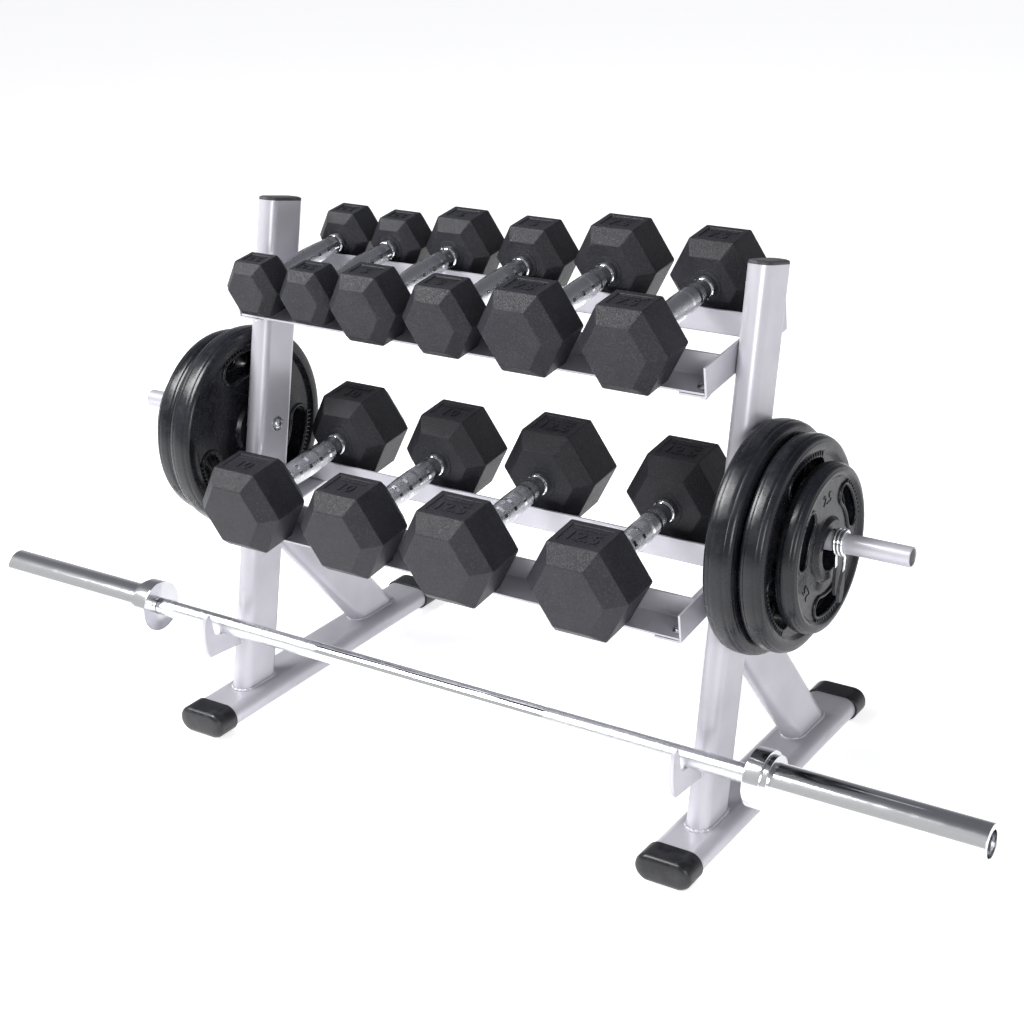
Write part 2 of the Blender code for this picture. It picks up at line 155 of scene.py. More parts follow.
class Signal:
    """One output of a shader node, with arithmetic that adds Math nodes."""

    def __init__(self, graph: Graph, socket: bpy.types.NodeSocket) -> None:
        """Wraps a socket of the graph."""
        self.graph = graph
        self.socket = socket

    def math(self, operation: str, *values: Signal | float, clamp: bool = False) -> Signal:
        """Result of a Math node.

        Args:
            operation: name of the operation.
            values: its inputs, in order.
            clamp: whether the result is held between 0 and 1.

        Returns:
            The new signal.
        """
        settings = {"operation": operation, "use_clamp": clamp}
        return self.graph.node("ShaderNodeMath", settings, dict(enumerate(values)))

    def __add__(self, other: Signal | float) -> Signal:
        """Sum."""
        return self.math("ADD", self, other)

    def __mul__(self, other: Signal | float) -> Signal:
        """Product."""
        return self.math("MULTIPLY", self, other)

    def __sub__(self, other: Signal | float) -> Signal:
        """Difference."""
        return self.math("SUBTRACT", self, other)

    def __rsub__(self, other: float) -> Signal:
        """Difference from a number."""
        return self.math("SUBTRACT", other, self)

    def __abs__(self) -> Signal:
        """Size without sign."""
        return self.math("ABSOLUTE", self)

    __radd__, __rmul__ = __add__, __mul__

    def least(self, other: Signal | float) -> Signal:
        """Smaller of the two."""
        return self.math("MINIMUM", self, other)

    def most(self, other: Signal | float) -> Signal:
        """Larger of the two."""
        return self.math("MAXIMUM", self, other)

    def fold(self, width: float) -> Signal:
        """Triangle wave between 0 and the width."""
        return self.math("PINGPONG", self, width)

    def above(self, low: float, high: float) -> Signal:
        """Ramp from 0 at the low value to 1 at the high one."""
        return self.math("MULTIPLY", self - low, 1.0 / (high - low), clamp=True)


class Graph:
    """Node tree of a material or of the world."""

    def __init__(self, owner: str | bpy.types.World) -> None:
        """Starts an empty tree.

        Args:
            owner: the world, or the name of a new material.
        """
        self.owner = bpy.data.materials.new(owner) if isinstance(owner, str) else owner
        self.owner.use_nodes = True
        self.tree = self.owner.node_tree
        self.tree.nodes.clear()

    def node(
        self, kind: str, settings: dict | None = None, sockets: dict | None = None, output: int | str = 0,
    ) -> Signal:
        """Adds one node.

        Args:
            kind: the node's type.
            settings: properties, set first; "stops" fills a colour ramp.
            sockets: values or signals by input name or number.
            output: name or number of the output that is wanted.

        Returns:
            That output.
        """
        made = self.tree.nodes.new(kind)
        for key, value in (settings or {}).items():
            if key == "stops":
                elements = made.color_ramp.elements
                for element, (position, colour) in zip(elements, (value[0], value[-1])):
                    element.position, element.color = position, (*colour, 1.0)
                for position, colour in value[1:-1]:
                    elements.new(position).color = (*colour, 1.0)
            else:
                setattr(made, key, value)
        for key, value in (sockets or {}).items():
            if isinstance(value, Signal):
                self.tree.links.new(value.socket, made.inputs[key])
            else:
                made.inputs[key].default_value = value
        return Signal(self, made.outputs[output]) if made.outputs else None

    def place(self, kind: str = "Object") -> Signal:
        """Texture coordinates of a kind."""
        return self.node("ShaderNodeTexCoord", output=kind)

    def part(self, vector: Signal, number: int) -> Signal:
        """One of the three numbers of a vector."""
        return self.node("ShaderNodeSeparateXYZ", None, {0: vector}, number)

    def noise(self, where: Signal, scale: float, detail: float = 2.0, stretch: Sequence[float] = (1, 1, 1)) -> Signal:
        """Noise between 0 and 1.

        Args:
            where: the coordinates.
            scale: blobs per metre.
            detail: octaves.
            stretch: factors on the three coordinates.

        Returns:
            The noise value.
        """
        mapped = self.node("ShaderNodeMapping", None, {"Vector": where, "Scale": tuple(stretch)})
        return self.node("ShaderNodeTexNoise", None, {"Vector": mapped, "Scale": scale, "Detail": detail})

    def cells(self, where: Signal, scale: float) -> Signal:
        """Distance to the nearest cell centre, for pebbled skins."""
        return self.node("ShaderNodeTexVoronoi", None, {"Vector": where, "Scale": scale}, "Distance")

    def blend(self, share: Signal, first: Sequence[float] | Signal, second: Sequence[float] | Signal) -> Signal:
        """Mix of two colours.

        Args:
            share: how much of the second.
            first: colour at 0.
            second: colour at 1.

        Returns:
            The mixed colour.
        """
        colours = [c if isinstance(c, Signal) else (*c, 1.0) for c in (first, second)]
        return self.node("ShaderNodeMix", {"data_type": "RGBA"}, {0: share, 6: colours[0], 7: colours[1]}, 2)

    def bump(self, height: Signal, strength: float, distance: float) -> Signal:
        """Normal from a height, with a strength and the depth in metres at height 1."""
        return self.node("ShaderNodeBump", None, {"Height": height, "Strength": strength, "Distance": distance})

    def dress(self, **sockets: Signal | float | Sequence[float]) -> Material:
        """Feeds a Principled shader and the material's output.

        Args:
            sockets: values or signals by input name, with underscores for spaces.

        Returns:
            The material.
        """
        named = {key.replace("_", " "): value for key, value in sockets.items()}
        shader = self.node("ShaderNodeBsdfPrincipled", None, named)
        self.node("ShaderNodeOutputMaterial", None, {"Surface": shader})
        return self.owner


@dataclass(frozen=True)
class PowderCoat:
    """Silver-grey baked powder on steel, with a fine orange peel and faint handling marks."""

    pale: Colour = (0.50, 0.49, 0.535)
    deep: Colour = (0.44, 0.432, 0.475)
    marked: Colour = (0.34, 0.332, 0.36)

    def make(self) -> Material:
        """Builds the material."""
        graph = Graph("powder_coat")
        where = graph.place()
        cloud = graph.noise(where, 11.0, 3.0).above(0.35, 0.65)
        marks = graph.noise(where, 70.0, 6.0, (1.0, 0.35, 1.0)).above(0.66, 0.74)
        peel = graph.noise(where, 900.0, 2.0)
        flake = graph.noise(where, 2600.0, 1.0).above(0.45, 0.75)
        colour = graph.blend(cloud, self.pale, self.deep)
        colour = graph.blend(marks * 0.30 + flake * 0.10, colour, self.marked)
        return graph.dress(
            Base_Color=colour, Roughness=0.29 + cloud * 0.06 + marks * 0.12, Metallic=0.30,
            Normal=graph.bump(peel, 0.35, 0.00012), Specular_IOR_Level=0.5)


@dataclass(frozen=True)
class PebbledRubber:
    """Charcoal rubber of the hexagonal heads, with a fine pebbled skin."""

    dark: Colour = (0.010, 0.010, 0.0135)
    light: Colour = (0.034, 0.034, 0.043)

    def make(self) -> Material:
        """Builds the material."""
        graph = Graph("pebbled_rubber")
        where = graph.place()
        pebble = graph.cells(where, 760.0).above(0.0, 0.7)
        grain = graph.noise(where, 1500.0, 3.0)
        patch = graph.noise(where, 30.0, 4.0).above(0.35, 0.7)
        dust = graph.noise(where, 420.0, 5.0).above(0.50, 0.72)
        colour = graph.blend(dust * 0.75 + patch * 0.25, self.dark, self.light)
        return graph.dress(
            Base_Color=colour, Roughness=0.37 + grain * 0.14 + patch * 0.05, Metallic=0.0,
            Normal=graph.bump(pebble + grain * 0.6, 0.75, 0.00045), Specular_IOR_Level=0.32)


@dataclass(frozen=True)
class GlossRubber:
    """Black moulded rubber of the grip plates, polished by handling."""

    dark: Colour = (0.005, 0.0052, 0.0075)
    light: Colour = (0.014, 0.0148, 0.020)

    def make(self) -> Material:
        """Builds the material."""
        graph = Graph("gloss_rubber")
        where = graph.place()
        cloud = graph.noise(where, 26.0, 5.0).above(0.35, 0.68)
        smear = graph.noise(where, 120.0, 5.0).above(0.45, 0.75)
        wave = graph.noise(where, 48.0, 2.0)
        grain = graph.noise(where, 1300.0, 2.0)
        return graph.dress(
            Base_Color=graph.blend(cloud * 0.7 + smear * 0.3, self.dark, self.light),
            Roughness=0.19 + cloud * 0.12 + smear * 0.10, Metallic=0.0,
            Normal=graph.bump(wave + grain * 0.08, 0.4, 0.0009), Specular_IOR_Level=0.34)


@dataclass(frozen=True)
class Coat:
    """Plain finish: two tones that a patchy mask blends, over a fine grain.

    Attributes are the material's name, its tones, the mask's scale, octaves, start and end, the roughness and what the
    mask adds to it, the grain's scale, octaves, strength and depth, how metallic it is, and its specular level.
    """

    name: str
    tones: tuple[Colour, Colour]
    patch: tuple[float, float, float, float]
    rough: tuple[float, float]
    grain: tuple[float, float, float, float]
    metallic: float = 0.0
    specular: float = 0.5

    def make(self) -> Material:
        """Builds the material."""
        graph = Graph(self.name)
        where = graph.place()
        patch = graph.noise(where, *self.patch[:2]).above(*self.patch[2:])
        grain = graph.noise(where, *self.grain[:2])
        return graph.dress(
            Base_Color=graph.blend(patch, *self.tones), Roughness=self.rough[0] + patch * self.rough[1],
            Metallic=self.metallic, Normal=graph.bump(grain, *self.grain[2:]), Specular_IOR_Level=self.specular)


CAP = Coat("cap_rubber", ((0.007, 0.007, 0.009), (0.022, 0.023, 0.027)), (90.0, 6.0, 0.42, 0.75), (0.30, 0.18),
           (1100.0, 2.0, 0.3, 0.0002), 0.0, 0.4)
PLUG = Coat("plug_plastic", ((0.045, 0.045, 0.049), (0.075, 0.075, 0.080)), (160.0, 4.0, 0.4, 0.7), (0.42, 0.12),
            (1600.0, 1.0, 0.4, 0.00012), 0.0, 0.2)
ZINC = Coat("zinc_plate", ((0.66, 0.67, 0.69), (0.42, 0.43, 0.46)), (260.0, 4.0, 0.4, 0.7), (0.24, 0.16),
            (2400.0, 1.0, 0.3, 0.00008), 1.0)


class Knurl(Enum):
    """Where a chromed bar is knurled: bands as distances from its middle."""

    NONE = ()
    HANDLE = ((-1.0, 0.0085), (0.0140, 0.0300), (0.0355, 0.0470))
    SHAFT = ((0.187, 0.474),)


@dataclass(frozen=True)
class Chrome:
    """Chrome plate; the knurled bands scatter the light and look satin, and their grooves are greyed in the base colour
    as painted shade.
    """

    knurl: Knurl = Knurl.NONE
    name: str = "chrome"
    turns: int = 44
    polish: float = 0.055
    pitch: float = 560.0
    fade: float = 0.0008
    bright: Colour = (0.82, 0.83, 0.85)
    # grey: tone that the film mask blends in at random, and in knurled bands the painted shade of the grooves
    grey: Colour = (0.62, 0.63, 0.66)

    def make(self) -> Material:
        """Builds the material."""
        graph = Graph(self.name)
        where = graph.place()
        film = graph.noise(where, 60.0, 4.0).above(0.45, 0.75)
        lines = graph.noise(where, 900.0, 2.0, (1.0, 0.04, 0.04))
        if self.knurl is Knurl.NONE:
            return graph.dress(
                Base_Color=graph.blend(film * 0.25, self.bright, self.grey), Roughness=self.polish + film * 0.04,
                Metallic=1.0, Normal=graph.bump(lines, 0.10, 0.00003))
        wrap = graph.node("ShaderNodeUVMap", {"uv_map": "wrap"})
        around, along = graph.part(wrap, 0) * self.turns, graph.part(wrap, 1)
        away = abs(along)
        bands = [away.above(start, start + self.fade) * (1.0 - away.above(end, end + self.fade))
                 for start, end in self.knurl.value]
        band = reduce(Signal.most, bands)
        one, two = [(around + along * pitch).fold(0.5) * 2.0 for pitch in (self.pitch, -self.pitch)]
        diamond = one.least(two) * band
        # the base colour greys the knurl grooves (band - diamond) as painted shade in the recesses; the film mask is
        # random tone
        return graph.dress(
            Base_Color=graph.blend((band - diamond) * 0.6 + film * 0.15, self.bright, self.grey),
            Roughness=self.polish + band * 0.20 + film * 0.04, Metallic=1.0,
            Normal=graph.bump(diamond, 0.45, 0.00022))


class Finish(Enum):
    """Every finish, as the material slot that it stands for and its maker; each is made once and shared."""

    PAINT = ("frame_paint", PowderCoat())
    PEBBLE = ("hex_head", PebbledRubber())
    PLATE = ("grip_plate", GlossRubber())
    CAP = ("cap_rubber", CAP)
    PLUG = ("plug_plastic", PLUG)
    ZINC = ("zinc_steel", ZINC)
    CHROME = ("spring_wire", Chrome())
    SLEEVE = ("bar_chrome", Chrome(name="sleeve_chrome", polish=0.13))
    HANDLE = ("spring_wire", Chrome(Knurl.HANDLE, "handle_chrome", 52))
    SHAFT = ("bar_chrome", Chrome(Knurl.SHAFT, "shaft_chrome"))

    def __init__(self, slot: str, maker: PowderCoat | Coat | Chrome) -> None:
        """Keeps the slot and makes the material."""
        self.slot = slot
        self.material = maker.make()


# ---- shaping


def turned(profile: Sequence[tuple[float, float]], steps: int = 64, ring: bool = False) -> Mesh:
    """Turns a profile about the X axis.

    Args:
        profile: pairs of radius and distance along X.
        steps: sides of the round.
        ring: whether the profile closes on itself.

    Returns:
        The closed mesh.
    """
    mesh = bmesh.new()
    points = [mesh.verts.new((along, 0.0, radius)) for radius, along in profile]
    edges = [mesh.edges.new(pair) for pair in zip(points, points[1:])]
    if ring:
        edges.append(mesh.edges.new((points[-1], points[0])))
    bmesh.ops.spin(
        mesh, geom=points + edges, cent=(0, 0, 0), axis=(1, 0, 0), dvec=(0, 0, 0), angle=math.tau, steps=steps,
        use_merge=True, use_duplicate=False)
    bmesh.ops.remove_doubles(mesh, verts=mesh.verts, dist=1e-6)
    bmesh.ops.recalc_face_normals(mesh, faces=mesh.faces)
    return mesh


def bevelled(
    mesh: Mesh, edges: Iterable[bmesh.types.BMEdge], offset: float, segments: int = 2, clamp: bool = False,
) -> Mesh:
    """Bevels given edges.

    Args:
        mesh: the mesh, changed in place.
        edges: its edges to bevel.
        offset: width of the bevel.
        segments: faces across it.
        clamp: whether bevels that would meet are held apart.

    Returns:
        The same mesh.
    """
    bmesh.ops.bevel(
        mesh, geom=list(edges), offset=offset, offset_type="OFFSET", affect="EDGES", segments=segments, profile=0.5,
        material=-1, clamp_overlap=clamp)
    return mesh


def rounded(mesh: Mesh, offset: float, segments: int = 2, angle: float = 28.0) -> Mesh:
    """Bevels the sharp edges of a mesh.

    Args:
        mesh: the mesh, changed in place.
        offset: width of the bevel.
        segments: faces across it.
        angle: least angle, in degrees, that counts as sharp.

    Returns:
        The same mesh.
    """
    limit = math.radians(angle)
    sharp = [e for e in mesh.edges if e.is_manifold and e.calc_face_angle(0.0) > limit]
    return bevelled(mesh, sharp, offset, segments, True)


def domed(mesh: Mesh, face: bmesh.types.BMFace, steps: Iterable[tuple[float, float]], sign: int) -> None:
    """Insets a face step by step and moves it along Z.

    Args:
        mesh: the mesh, changed in place.
        face: the face.
        steps: pairs of inset and rise.
        sign: the way in which it moves.
    """
    for width, rise in steps:
        bmesh.ops.inset_individual(mesh, faces=[face], thickness=width, depth=0.0, use_even_offset=True)
        bmesh.ops.translate(mesh, verts=list(face.verts), vec=(0, 0, sign * rise))


def raised(mesh: Mesh, along: Vector) -> Mesh:
    """Pulls the flat faces of a mesh into a solid.

    Args:
        mesh: flat mesh, changed in place.
        along: how far and which way.

    Returns:
        The same mesh, closed.
    """
    grown = bmesh.ops.extrude_face_region(mesh, geom=list(mesh.faces))["geom"]
    bmesh.ops.translate(mesh, verts=[g for g in grown if isinstance(g, bmesh.types.BMVert)], vec=along)
    bmesh.ops.recalc_face_normals(mesh, faces=mesh.faces)
    return mesh


def outline_block(points: Iterable[Sequence[float]], along: Vector) -> Mesh:
    """Solid from a flat outline.

    Args:
        points: corners of the outline.
        along: direction and length of the solid.

    Returns:
        The closed mesh.
    """
    mesh = bmesh.new()
    mesh.faces.new([mesh.verts.new(p) for p in points])
    return raised(mesh, along)


def hexagon(radius: float, height: float, soft: float) -> Mesh:
    """Hexagonal nut or bolt head along Z.

    Args:
        radius: distance from its axis to a corner.
        height: its height.
        soft: width of the bevel on its edges.

    Returns:
        The closed mesh.
    """
    mesh = bmesh.new()
    bmesh.ops.create_circle(mesh, cap_ends=True, radius=radius, segments=6)
    return rounded(raised(mesh, Vector((0, 0, height))), soft, 2, 40.0)


def oval_block(wide: float, thin: float, length: float, segments: int = 56) -> Mesh:
    """Flat-oval bar along Z, the long way of the section along Y.

    Args:
        wide: long size of the section.
        thin: short size of the section.
        length: length of the bar.
        segments: points round the section.

    Returns:
        The closed mesh.
    """
    mesh = bmesh.new()
    bmesh.ops.create_circle(mesh, cap_ends=True, radius=thin / 2, segments=segments)
    half_step = Matrix.Rotation(math.pi / segments, 3, "Z")
    bmesh.ops.rotate(mesh, verts=mesh.verts, cent=(0, 0, 0), matrix=half_step)
    for end in (-1, 1):
        verts = [v for v in mesh.verts if v.co.y * end > 0]
        bmesh.ops.translate(mesh, verts=verts, vec=(0.0, end * (wide - thin) / 2, 0.0))
    return raised(mesh, Vector((0.0, 0.0, length)))


def trimmed(mesh: Mesh, point: Vector, outward: Vector) -> Mesh:
    """Cuts away what lies beyond a plane and closes the cut.

    Args:
        mesh: the mesh, changed in place.
        point: a point of the plane.
        outward: the plane's normal, towards what is cut away.

    Returns:
        The same mesh.
    """
    geometry = list(mesh.verts) + list(mesh.edges) + list(mesh.faces)
    cut = bmesh.ops.bisect_plane(mesh, geom=geometry, plane_co=point, plane_no=outward, clear_outer=True)
    edges = [g for g in cut["geom_cut"] if isinstance(g, bmesh.types.BMEdge)]
    bmesh.ops.holes_fill(mesh, edges=edges, sides=0)
    bmesh.ops.recalc_face_normals(mesh, faces=mesh.faces)
    return mesh


def moved(mesh: Mesh, matrix: Matrix) -> Mesh:
    """Moves a mesh; a mirroring matrix has its faces turned back outwards.

    Args:
        mesh: the mesh, changed in place.
        matrix: where it goes.

    Returns:
        The same mesh.
    """
    bmesh.ops.transform(mesh, matrix=matrix, verts=mesh.verts)
    if matrix.determinant() < 0:
        bmesh.ops.reverse_faces(mesh, faces=mesh.faces)
    return mesh


def stored(name: str, mesh: Mesh) -> bpy.types.Mesh:
    """Mesh data from a working mesh.

    Args:
        name: the data's name.
        mesh: the working mesh, used up.

    Returns:
        The mesh data.
    """
    data = bpy.data.meshes.new(name)
    mesh.to_mesh(data)
    mesh.free()
    return data


def linked(name: str, data: bpy.types.ID) -> bpy.types.Object:
    """New object of the scene.

    Args:
        name: its name.
        data: its mesh, curve, light or camera.

    Returns:
        The object.
    """
    item = bpy.data.objects.new(name, data)
    bpy.context.scene.collection.objects.link(item)
    return item


def joined(parts: Iterable[Mesh]) -> Mesh:
    """One mesh from several.

    Args:
        parts: the meshes, used up.

    Returns:
        The joined mesh.
    """
    whole = bmesh.new()
    for part in parts:
        holder = stored("part", part)
        whole.from_mesh(holder)
        bpy.data.meshes.remove(holder)
    return whole


def from_object(item: bpy.types.Object) -> Mesh:
    """Finished mesh of a helper object, which is then removed.

    Args:
        item: the helper, with its modifiers or its curve.

    Returns:
        Its mesh, with doubles merged.
    """
    data = item.data
    graph = bpy.context.evaluated_depsgraph_get()
    made = bpy.data.meshes.new_from_object(item.evaluated_get(graph))
    mesh = bmesh.new()
    mesh.from_mesh(made)
    bpy.data.objects.remove(item)
    bpy.data.meshes.remove(made)
    if isinstance(data, bpy.types.Curve):
        bpy.data.curves.remove(data)
    bmesh.ops.remove_doubles(mesh, verts=mesh.verts, dist=1e-6)
    return mesh


def bead(points: Sequence[Vector], radius: float, closed: bool = True, ripple: float = 0.0) -> Mesh:
    """Round bead along a path, as of weld metal, wire or a moulded lip.

    Args:
        points: the path.
        radius: half the bead's width.
        closed: whether the path is a loop.
        ripple: how much the width swells and shrinks along it.

    Returns:
        The bead's mesh.
    """
    curve = bpy.data.curves.new("bead", "CURVE")
    curve.dimensions = "3D"
    curve.bevel_depth = radius
    curve.bevel_resolution = 3
    curve.use_fill_caps = True
    spline = curve.splines.new("POLY")
    spline.points.add(len(points) - 1)
    for number, (target, point) in enumerate(zip(spline.points, points)):
        target.co = (*point, 1.0)
        target.radius = 1.0 + ripple * (math.sin(number * 2.1) + 0.7 * math.sin(number * 0.83))
    spline.use_cyclic_u = closed
    return from_object(linked("bead", curve))


def figures(text: str, height: float, depth: float) -> Mesh:
    """Raised numerals, flat in XY and centred on the origin.

    Args:
        text: the numerals.
        height: height of a figure.
        depth: how thick they are.

    Returns:
        Their mesh.
    """
    curve = bpy.data.curves.new("figures", "FONT")
    curve.body = text
    curve.size = height / 0.69
    curve.extrude = depth / 2
    curve.resolution_u = 3
    curve.align_x = "CENTER"
    curve.align_y = "CENTER"
    return from_object(linked("figures", curve))


def wrap_map(mesh: Mesh, origin: Vector, along: Vector, across: Vector) -> None:
    """Writes turns around an axis and metres along it into the mesh's own map.

    Args:
        mesh: the mesh, changed in place.
        origin: a point of the axis.
        along: the axis.
        across: direction from which turns are counted.
    """
    layer = mesh.loops.layers.uv.new("wrap")
    third = along.cross(across)
    for face in mesh.faces:
        turns = []
        for loop in face.loops:
            arm = loop.vert.co - origin
            turns.append(math.atan2(arm.dot(third), arm.dot(across)) / math.tau)
        for loop, turn in zip(face.loops, turns):
            if max(turns) - min(turns) > 0.5 and turn < 0:
                turn += 1.0
            loop[layer].uv = (turn, (loop.vert.co - origin).dot(along))


def set_down(name: str, mesh: Mesh, finish: Finish, body: str = "rack", crease: float = 32.0, node: str = "") -> None:
    """Makes a finished piece of a mesh and lets it ride on its body.

    Args:
        name: the piece's name.
        mesh: its mesh, in the shared frame, used up.
        finish: its finish.
        body: the CAD body that it moves with.
        crease: angle, in degrees, past which an edge stays crisp.
        node: the CAD node that it stands for, if not one of its own name.
    """
    label = name + "_finished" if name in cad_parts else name
    nodes = [n for n in (node or name,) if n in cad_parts]
    data = stored(label, mesh)
    data.materials.clear()
    data.materials.append(finish.material)
    data.shade_smooth()
    data.set_sharp_from_angle(angle=math.radians(crease))
    piece = linked(label, data)
    even = piece.modifiers.new("even_normals", "WEIGHTED_NORMAL")
    even.weight, even.keep_sharp = 60, True
    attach(piece, body)
    if nodes:
        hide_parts(*nodes)
    log.info("%s: %d faces", name, len(data.polygons))


# ---- welded ends


@dataclass
class SideFrame:
    """One welded end of the rack: foot, leaning upright, rear brace and bar hook."""

    side: Side
    foot_length: float = 0.545
    cap_length: float = 0.038
    cap_wall: float = 0.0028
    upright_top: float = 0.729
    brace_angle: float = math.radians(50.0)
    brace_start: tuple[float, float] = (0.178, 0.310)
    hook_thick: float = 0.006

    @property
    def middle(self) -> Vector:
        """Point of the floor at this end's centre plane, level with the foot's front end."""
        return ORIGIN + Vector((self.side.value * SIDE_X, 0.0, 0.0))

    def build(self) -> None:
        """Builds every piece of this end."""
        self.foot()
        self.upright()
        self.brace()
        self.hook()

    def foot(self) -> None:
        """Flat-oval foot tube and its two rubber caps."""
        word = self.side.word
        tube = oval_block(TUBE_WIDE, TUBE_THIN, self.foot_length - 0.012)
        set_down("foot_tube_" + word, moved(tube, self.laid(0.006, -90)), Finish.PAINT)
        for end, turn, y in (("front", -90, 0.0), ("rear", 90, self.foot_length)):
            set_down(f"foot_cap_{end}_{word}", moved(self.cap(), self.laid(y, turn)), Finish.CAP, crease=CRISP)

    def laid(self, y: float, turn: float) -> Matrix:
        """Matrix that lays an upright bar on the floor, from a depth and turned about X."""
        return shift(self.middle + Vector((0, y, FOOT_TOP - TUBE_THIN / 2))) @ spun("X", turn) @ spun("Z", 90)

    def cap(self) -> Mesh:
        """Rubber cup along Z, its bulged end at zero."""
        wide, thin = TUBE_WIDE + 2 * self.cap_wall, TUBE_THIN + 2 * self.cap_wall
        mesh = oval_block(wide, thin, self.cap_length)
        end = min(mesh.faces, key=level_of)
        bmesh.ops.translate(mesh, verts=list(end.verts), vec=(0, 0, 0.0075))
        bulge = ((0.0013, 0.0032), (0.0022, 0.0022), (0.0035, 0.0012), (0.0055, 0.0007), (0.005, 0.0002))
        domed(mesh, end, bulge, -1)
        mouth = max(mesh.faces, key=level_of)
        return bevelled(mesh, mouth.edges, 0.0009)

    def tilted(self, base: Vector, along: Vector, across: Vector) -> Matrix:
        """Matrix that lays a bar along one direction with its section's long way across it.

        Args:
            base: where the bar starts.
            along: the bar's direction.
            across: the long way of its section.

        Returns:
            The matrix.
        """
        third = across.cross(along)
        turn = Matrix((third, across, along)).transposed().to_4x4()
        return shift(base) @ turn

    def upright(self) -> None:
        """Leaning upright with the weld round its foot and the plug in its top."""
        word = self.side.word
        base = self.middle + upright_point(0.0)
        length = self.upright_top / math.cos(LEAN)
        bar = moved(oval_block(TUBE_WIDE, TUBE_THIN, length), self.tilted(base, UP, BACK))
        bar = trimmed(bar, self.middle + Vector((0, 0, FOOT_TOP)), Vector((0, 0, -1)))
        set_down("upright_" + word, bar, Finish.PAINT)
        self.weld("upright_weld_" + word, base, UP, BACK)
        top = self.tilted(self.middle + upright_point(self.upright_top), UP, BACK)
        plug = oval_block(TUBE_WIDE - 0.0002, TUBE_THIN - 0.0002, 0.0030)
        domed(plug, max(plug.faces, key=level_of), ((0.0012, 0.0011), (0.0028, 0.0008), (0.0045, 0.0004)), 1)
        set_down("upright_cap_" + word, moved(plug, top), Finish.PLUG, crease=CRISP)

    def rim(self, base: Vector, across: Vector, squeeze: float = 1.0) -> Iterator[tuple[float, Vector]]:
        """Goes round the outline of a bar's section.

        Args:
            base: a point of the bar's centre line.
            across: the long way of its section.
            squeeze: factor on the short way.

        Yields:
            The distance from the bar's middle plane, and the point.
        """
        for number in range(96):
            angle = math.tau * number / 96
            x = TUBE_THIN / 2 * math.cos(angle) * squeeze
            y = TUBE_THIN / 2 * math.sin(angle)
            y += math.copysign((TUBE_WIDE - TUBE_THIN) / 2, y)
            yield x, base + Vector((x, 0, 0)) + across * y

    def weld(self, name: str, base: Vector, along: Vector, across: Vector) -> None:
        """Weld bead where a flat-oval bar stands on the foot.

        Args:
            name: the piece's name.
            base: a point of the bar's centre line.
            along: its direction.
            across: the long way of its section.
        """
        points = [start + along * ((FOOT_TOP - start.z) / along.z) for _, start in self.rim(base, across)]
        set_down(name, bead(points, 0.0030, True, 0.16), Finish.PAINT, crease=SOFT)

    def brace(self) -> None:
        """Rear brace from the upright's back down to the foot, with its welds."""
        word = self.side.word
        along = Vector((0, math.cos(self.brace_angle), -math.sin(self.brace_angle)))
        across = Vector((0, math.sin(self.brace_angle), math.cos(self.brace_angle)))
        base = self.middle + Vector((0, *self.brace_start)) - along * 0.012
        bar = moved(oval_block(TUBE_WIDE, TUBE_THIN - 0.0003, 0.42), self.tilted(base, along, across))
        bar = trimmed(bar, self.middle + Vector((0, 0, FOOT_TOP)), Vector((0, 0, -1)))
        set_down("rear_brace_" + word, bar, Finish.PAINT)
        self.weld("brace_weld_" + word, base, along, across)
        centre = self.middle + upright_point(0.0)
        seam = []
        for x, start in self.rim(base, across, 0.995):
            wall = (TUBE_WIDE - TUBE_THIN) / 2 + math.sqrt(max(0.0, (TUBE_THIN / 2) ** 2 - x * x))
            seam.append(start + along * ((wall - (start - centre).dot(BACK)) / along.dot(BACK)))
        set_down("brace_seam_" + word, bead(seam, 0.0024, True, 0.16), Finish.PAINT, crease=SOFT)

    def hook(self) -> None:
        """Flat J-hook for the bar, welded to the upright's front."""
        word, seat = self.side.word, 0.1388

        def front(z: float) -> float:
            """Depth of the upright's front at a height."""
            return upright_point(z).y - TUBE_WIDE / 2 / math.cos(LEAN) + 0.0006

        outline = [
            (front(0.106), 0.106), (0.0345, 0.1112), (0.0295, 0.1190), (0.0272, 0.1300), (0.0266, 0.1430),
            (0.0272, 0.1570), (0.0295, 0.1690), (0.0330, 0.1752), (0.0372, 0.1778), (0.0405, 0.1755),
            (0.0426, 0.1680), (0.0445, 0.1575), (0.0462, 0.1480), (0.0485, 0.1422), (0.0540, seat), (front(seat), seat)]
        start = self.middle + Vector((-self.hook_thick / 2, 0, 0))
        plate = outline_block([start + Vector((0, y, z)) for y, z in outline], Vector((self.hook_thick, 0, 0)))
        bevelled(plate, [e for e in plate.edges if abs((e.verts[0].co - e.verts[1].co).x) < 1e-6], 0.0008)
        beads = []
        for sign in (-1, 1):
            heights = [0.1085 + step * 0.0022 for step in range(14)]
            x = sign * self.hook_thick / 2
            beads.append(bead([self.middle + Vector((x, front(z) - 0.0004, z)) for z in heights], 0.0020, False, 0.18))
        set_down("bar_hook_" + word, plate, Finish.PAINT)
        set_down("hook_weld_" + word, joined(beads), Finish.PAINT, crease=SOFT)


# ---- horns, plates, collars


